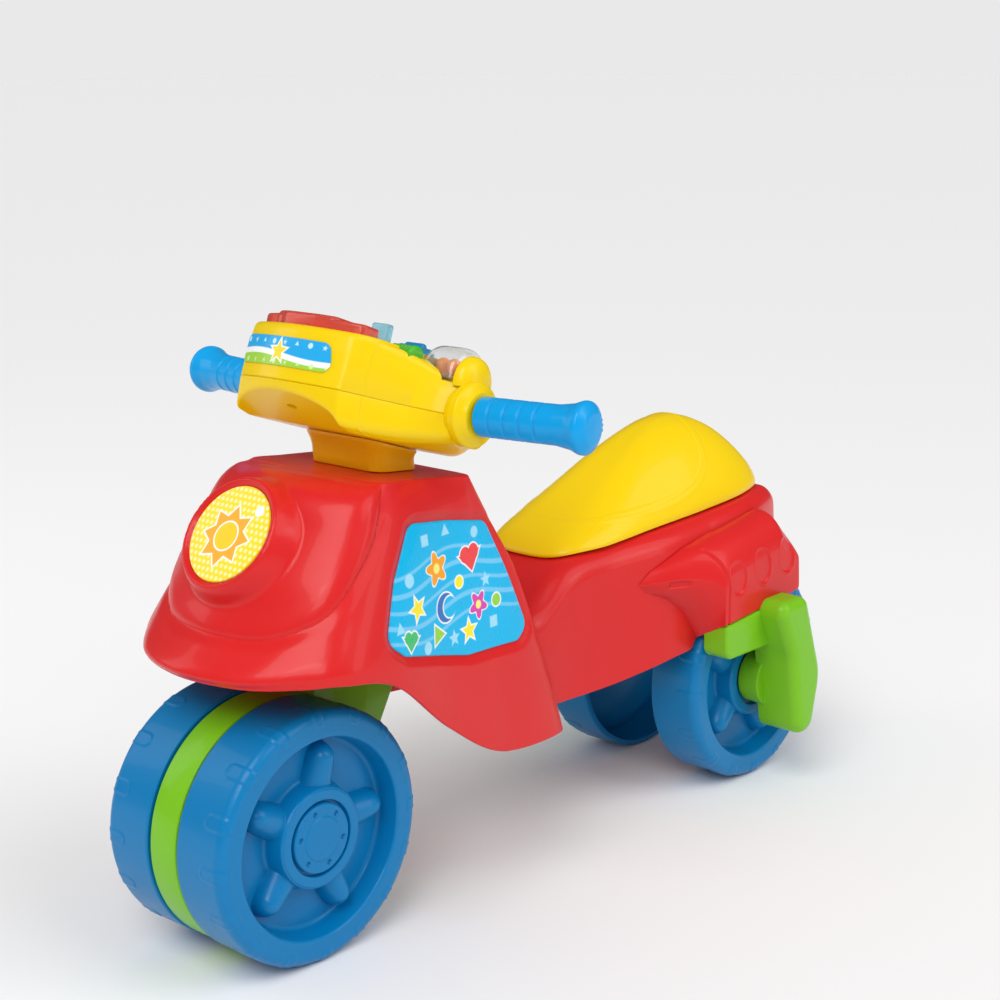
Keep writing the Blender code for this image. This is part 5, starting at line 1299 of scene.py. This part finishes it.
def cover_dents(p):
    """How far the cover's surface is pushed out: three dimples, the groove and the slot."""
    y, z = p[..., 1], p[..., 2]
    push = np.zeros(y.shape)
    face = smooth(POD_OUTER - 0.003, POD_OUTER - 0.001, p[..., 0])
    for cy, cz in DIMPLES:
        e = np.hypot(((y - cy) + 0.10 * (z - cz)) / 0.0098, (z - cz) / 0.0138)
        push += face * (0.0003 * np.exp(-((e - 1.06) / 0.05) ** 2) - 0.0011 * (1 - smooth(0.84, 1.0, e)))
    groove = nearest_gap(p[..., 1:], resample(curve(COVER_GROOVE, np.linspace(0, 4, 90)), 0.0006))
    push -= 0.0013 * (1 - smooth(0.0003, 0.0015, groove)) * smooth(0.076, 0.081, p[..., 0])
    gap = np.hypot(np.maximum(np.abs(y - COVER_SLOT[0]) - 0.0065, 0), z - COVER_SLOT[1]) - 0.0018
    return push - 0.0014 * (1 - smooth(0.0, 0.0012, np.maximum(gap, 0))) * (p[..., 0] > 0.0705)


def cover_mesh(side):
    """Engine cover, lofted from the body to a nearly flat outer face."""
    root, face = (np.vstack([even(fillet(corners, radii, 10, closed=False), count)
                             for corners, radii, count in table]) for table in (COVER_ROOT, COVER_FACE))
    root_x = np.minimum(POD_X, body_at(root[:, 0], 1) + 0.0004)
    rows = []
    for x, share, fall in curve(COVER_LEVELS, np.linspace(0, 6, 70)):
        p = mix(root, face, share)
        p[:, 1] -= max(fall, 0.0) * smooth(0.015, 0.062, p[:, 1] - pod_low(face[:, 0]))
        rows.append(np.column_stack([mix(root_x, POD_OUTER, x / (POD_OUTER - POD_X)), p]))
    rim = rows[-1]
    middle = np.array((0.0, -0.027, 0.168))
    for k in 1 - np.linspace(0, 1, 90)[1:-1] ** 1.25:
        p = middle + (rim - middle) * k
        p[:, 0] = POD_OUTER + 0.0004 * (1 - k * k)
        rows.append(p)
    p = np.array(rows)
    for _ in range(14):
        p[1:] = 0.5 * p[1:] + 0.25 * (np.roll(p[1:], 1, 1) + np.roll(p[1:], -1, 1))
    p = relax(p, list(range(3, 84)), 14)
    n = np.cross(np.gradient(p, axis=0), np.roll(p, -1, 1) - np.roll(p, 1, 1))
    n /= np.maximum(np.linalg.norm(n, axis=2, keepdims=True), 1e-12)
    n *= np.sign(np.sum(n * (p - np.array((0.06, -0.03, 0.165))), axis=2, keepdims=True))
    p = p + n * cover_dents(p)[..., None]
    p[..., 0] *= side
    p[..., 1] += REAR_Y
    return skin(p)


def bracket_mesh(side):
    """Green block under the engine cover, the leg that reaches down to the axle, and the boss around it."""
    front, rear, gap = -0.073, 0.010, 0.0008
    corners = ((front, 0.112), (rear, 0.112), (rear, pod_low(rear) - gap), (front, pod_low(front) - gap))
    block = slab(fillet(corners, [0.0085, 0.006, 0.003, 0.003], 8), 0.0745, 0.0952, 0.0010, 0.0028, along_x)
    outline = fillet(LEG_OUTLINE, LEG_CORNERS, 14)
    leg = slab(resample(outline, 0.0012, closed=True), 0.0800, 0.1158, 0.0012, 0.0078, along_x, 10)
    boss_path = fillet(((-0.0060, 0.0045), (-0.0060, 0.0205), (0.0120, 0.0210), (0.0120, 0.0045)),
                       [0, 0.0012, 0.001, 0], 5, closed=False)
    g = lathe(resample(boss_path, 0.0008), 96)
    boss = (g + np.array((0.0745, REAR_Y, AXLE_Z)), turned_faces(g))
    verts, faces = join([facing_out(block), facing_out(leg), facing_out(boss)])
    verts[:, 0] *= side
    return verts, (faces if side > 0 else [f[::-1] for f in faces])


for side, word in ((1, "left"), (-1, "right")):
    make("engine_cover_look_" + word, *cover_mesh(side), RED, "body", ["engine_cover_" + word],
         "red_plastic", 50)
    make("wheel_bracket_look_" + word, *bracket_mesh(side), GREEN, "body", ["wheel_bracket_" + word],
         "green_plastic", 40, outward=False)

# Looks of the plain pieces that stay as the frame has them

NODE_MATERIALS = {
    "battery_door": YELLOW, "battery_door_screw": STEEL, "battery_left": CASE, "battery_right": CASE,
    "circuit_board": BOARD, "front_axle": STEEL, "handlebar": STEEL, "lamp_switch_pad": RUBBER,
    "lower_steering_bush": BLACK, "page_switch_pad": RUBBER, "rear_axle": STEEL, "speaker": BLACK,
    "steering_column": STEEL, "upper_steering_bush": BLACK}
for name, mat in NODE_MATERIALS.items():
    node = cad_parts[name]
    node.data.materials.clear()
    node.data.materials.append(mat)

# Floor, light and camera

SUN_KEY = 1.25
SUN_SIDE = 0.70
WORLD_DIFFUSE = 0.50
WORLD_GLOSSY = 0.08
BACKDROP = 0.815
FLOOR_GREY = 0.88
FLOOR_HALF = 60
AIM = (0, 0, 0.17)
CAMERA_PLACE = (0.83247884, -0.91449698, 0.53071883)
CAMERA_RIGHT = (0.74249985, 0.6698059, -0.00735067)
CAMERA_UP = (-0.14707563, 0.17372399, 0.97374983)
CAMERA_BACK = (0.65350037, -0.721928, 0.22750216)
CAMERA_LENS = 67.4516


def grey(value):
    return (value, value, value, 1.0)


def add_floor():
    mat = bpy.data.materials.new("floor")
    mat.use_nodes = True
    shader = mat.node_tree.nodes["Principled BSDF"]
    shader.inputs["Base Color"].default_value = grey(FLOOR_GREY)
    shader.inputs["Roughness"].default_value = 0.9
    shader.inputs["Specular IOR Level"].default_value = 0.1
    mesh = bpy.data.meshes.new("floor")
    corners = [(-FLOOR_HALF, -FLOOR_HALF, 0), (FLOOR_HALF, -FLOOR_HALF, 0), (FLOOR_HALF, FLOOR_HALF, 0),
               (-FLOOR_HALF, FLOOR_HALF, 0)]
    mesh.from_pydata(corners, [], [(0, 1, 2, 3)])
    mesh.materials.append(mat)
    floor = bpy.data.objects.new("floor", mesh)
    bpy.context.scene.collection.objects.link(floor)


def add_light(name, kind, place, target, energy):
    data = bpy.data.lights.new(name, kind)
    data.energy = energy
    obj = bpy.data.objects.new(name, data)
    obj.location = place
    obj.rotation_euler = (Vector(place) - Vector(target)).to_track_quat("Z", "Y").to_euler()
    bpy.context.scene.collection.objects.link(obj)
    return data


def add_world():
    """A soft sky that the camera sees as the backdrop."""
    world = bpy.data.worlds.new("world")
    bpy.context.scene.world = world
    world.use_nodes = True
    tree = world.node_tree
    rays = tree.nodes.new("ShaderNodeLightPath").outputs
    lit = mixed(tree, grey(WORLD_DIFFUSE), grey(WORLD_GLOSSY), rays["Is Glossy Ray"])
    seen = combined(tree, "MAXIMUM", rays["Is Camera Ray"], rays["Is Transmission Ray"])
    feed(tree, tree.nodes["Background"].inputs["Color"], mixed(tree, lit, grey(BACKDROP), seen))
    tree.nodes["Background"].inputs["Strength"].default_value = 1.0


def stage():
    add_floor()
    add_light("key", "SUN", (0.6, -1.4, 2.0), (0, 0, 0), SUN_KEY).angle = math.radians(35)
    add_light("side", "SUN", (1.6, 0.6, 1.6), (0, 0, 0), SUN_SIDE).angle = math.radians(40)
    for name, place, size, power in (("window", (1.1, -1.5, 1.3), (0.7, 0.5), 5.0),
                                     ("strip", (1.7, 0.7, 0.8), (0.35, 1.2), 3.0),
                                     ("left", (-1.4, -0.9, 1.0), (0.6, 1.0), 3.0)):
        data = add_light(name, "AREA", place, AIM, power)
        data.shape = "RECTANGLE"
        data.size, data.size_y = size
    add_world()
    cam = bpy.data.objects.new("camera", bpy.data.cameras.new("camera"))
    turned = Matrix((CAMERA_RIGHT, CAMERA_UP, CAMERA_BACK)).transposed().to_4x4()
    cam.matrix_world = Matrix.Translation(CAMERA_PLACE) @ turned
    cam.data.lens = CAMERA_LENS
    bpy.context.scene.collection.objects.link(cam)
    bpy.context.scene.camera = cam
    bpy.context.scene.view_settings.view_transform = "Standard"


stage()
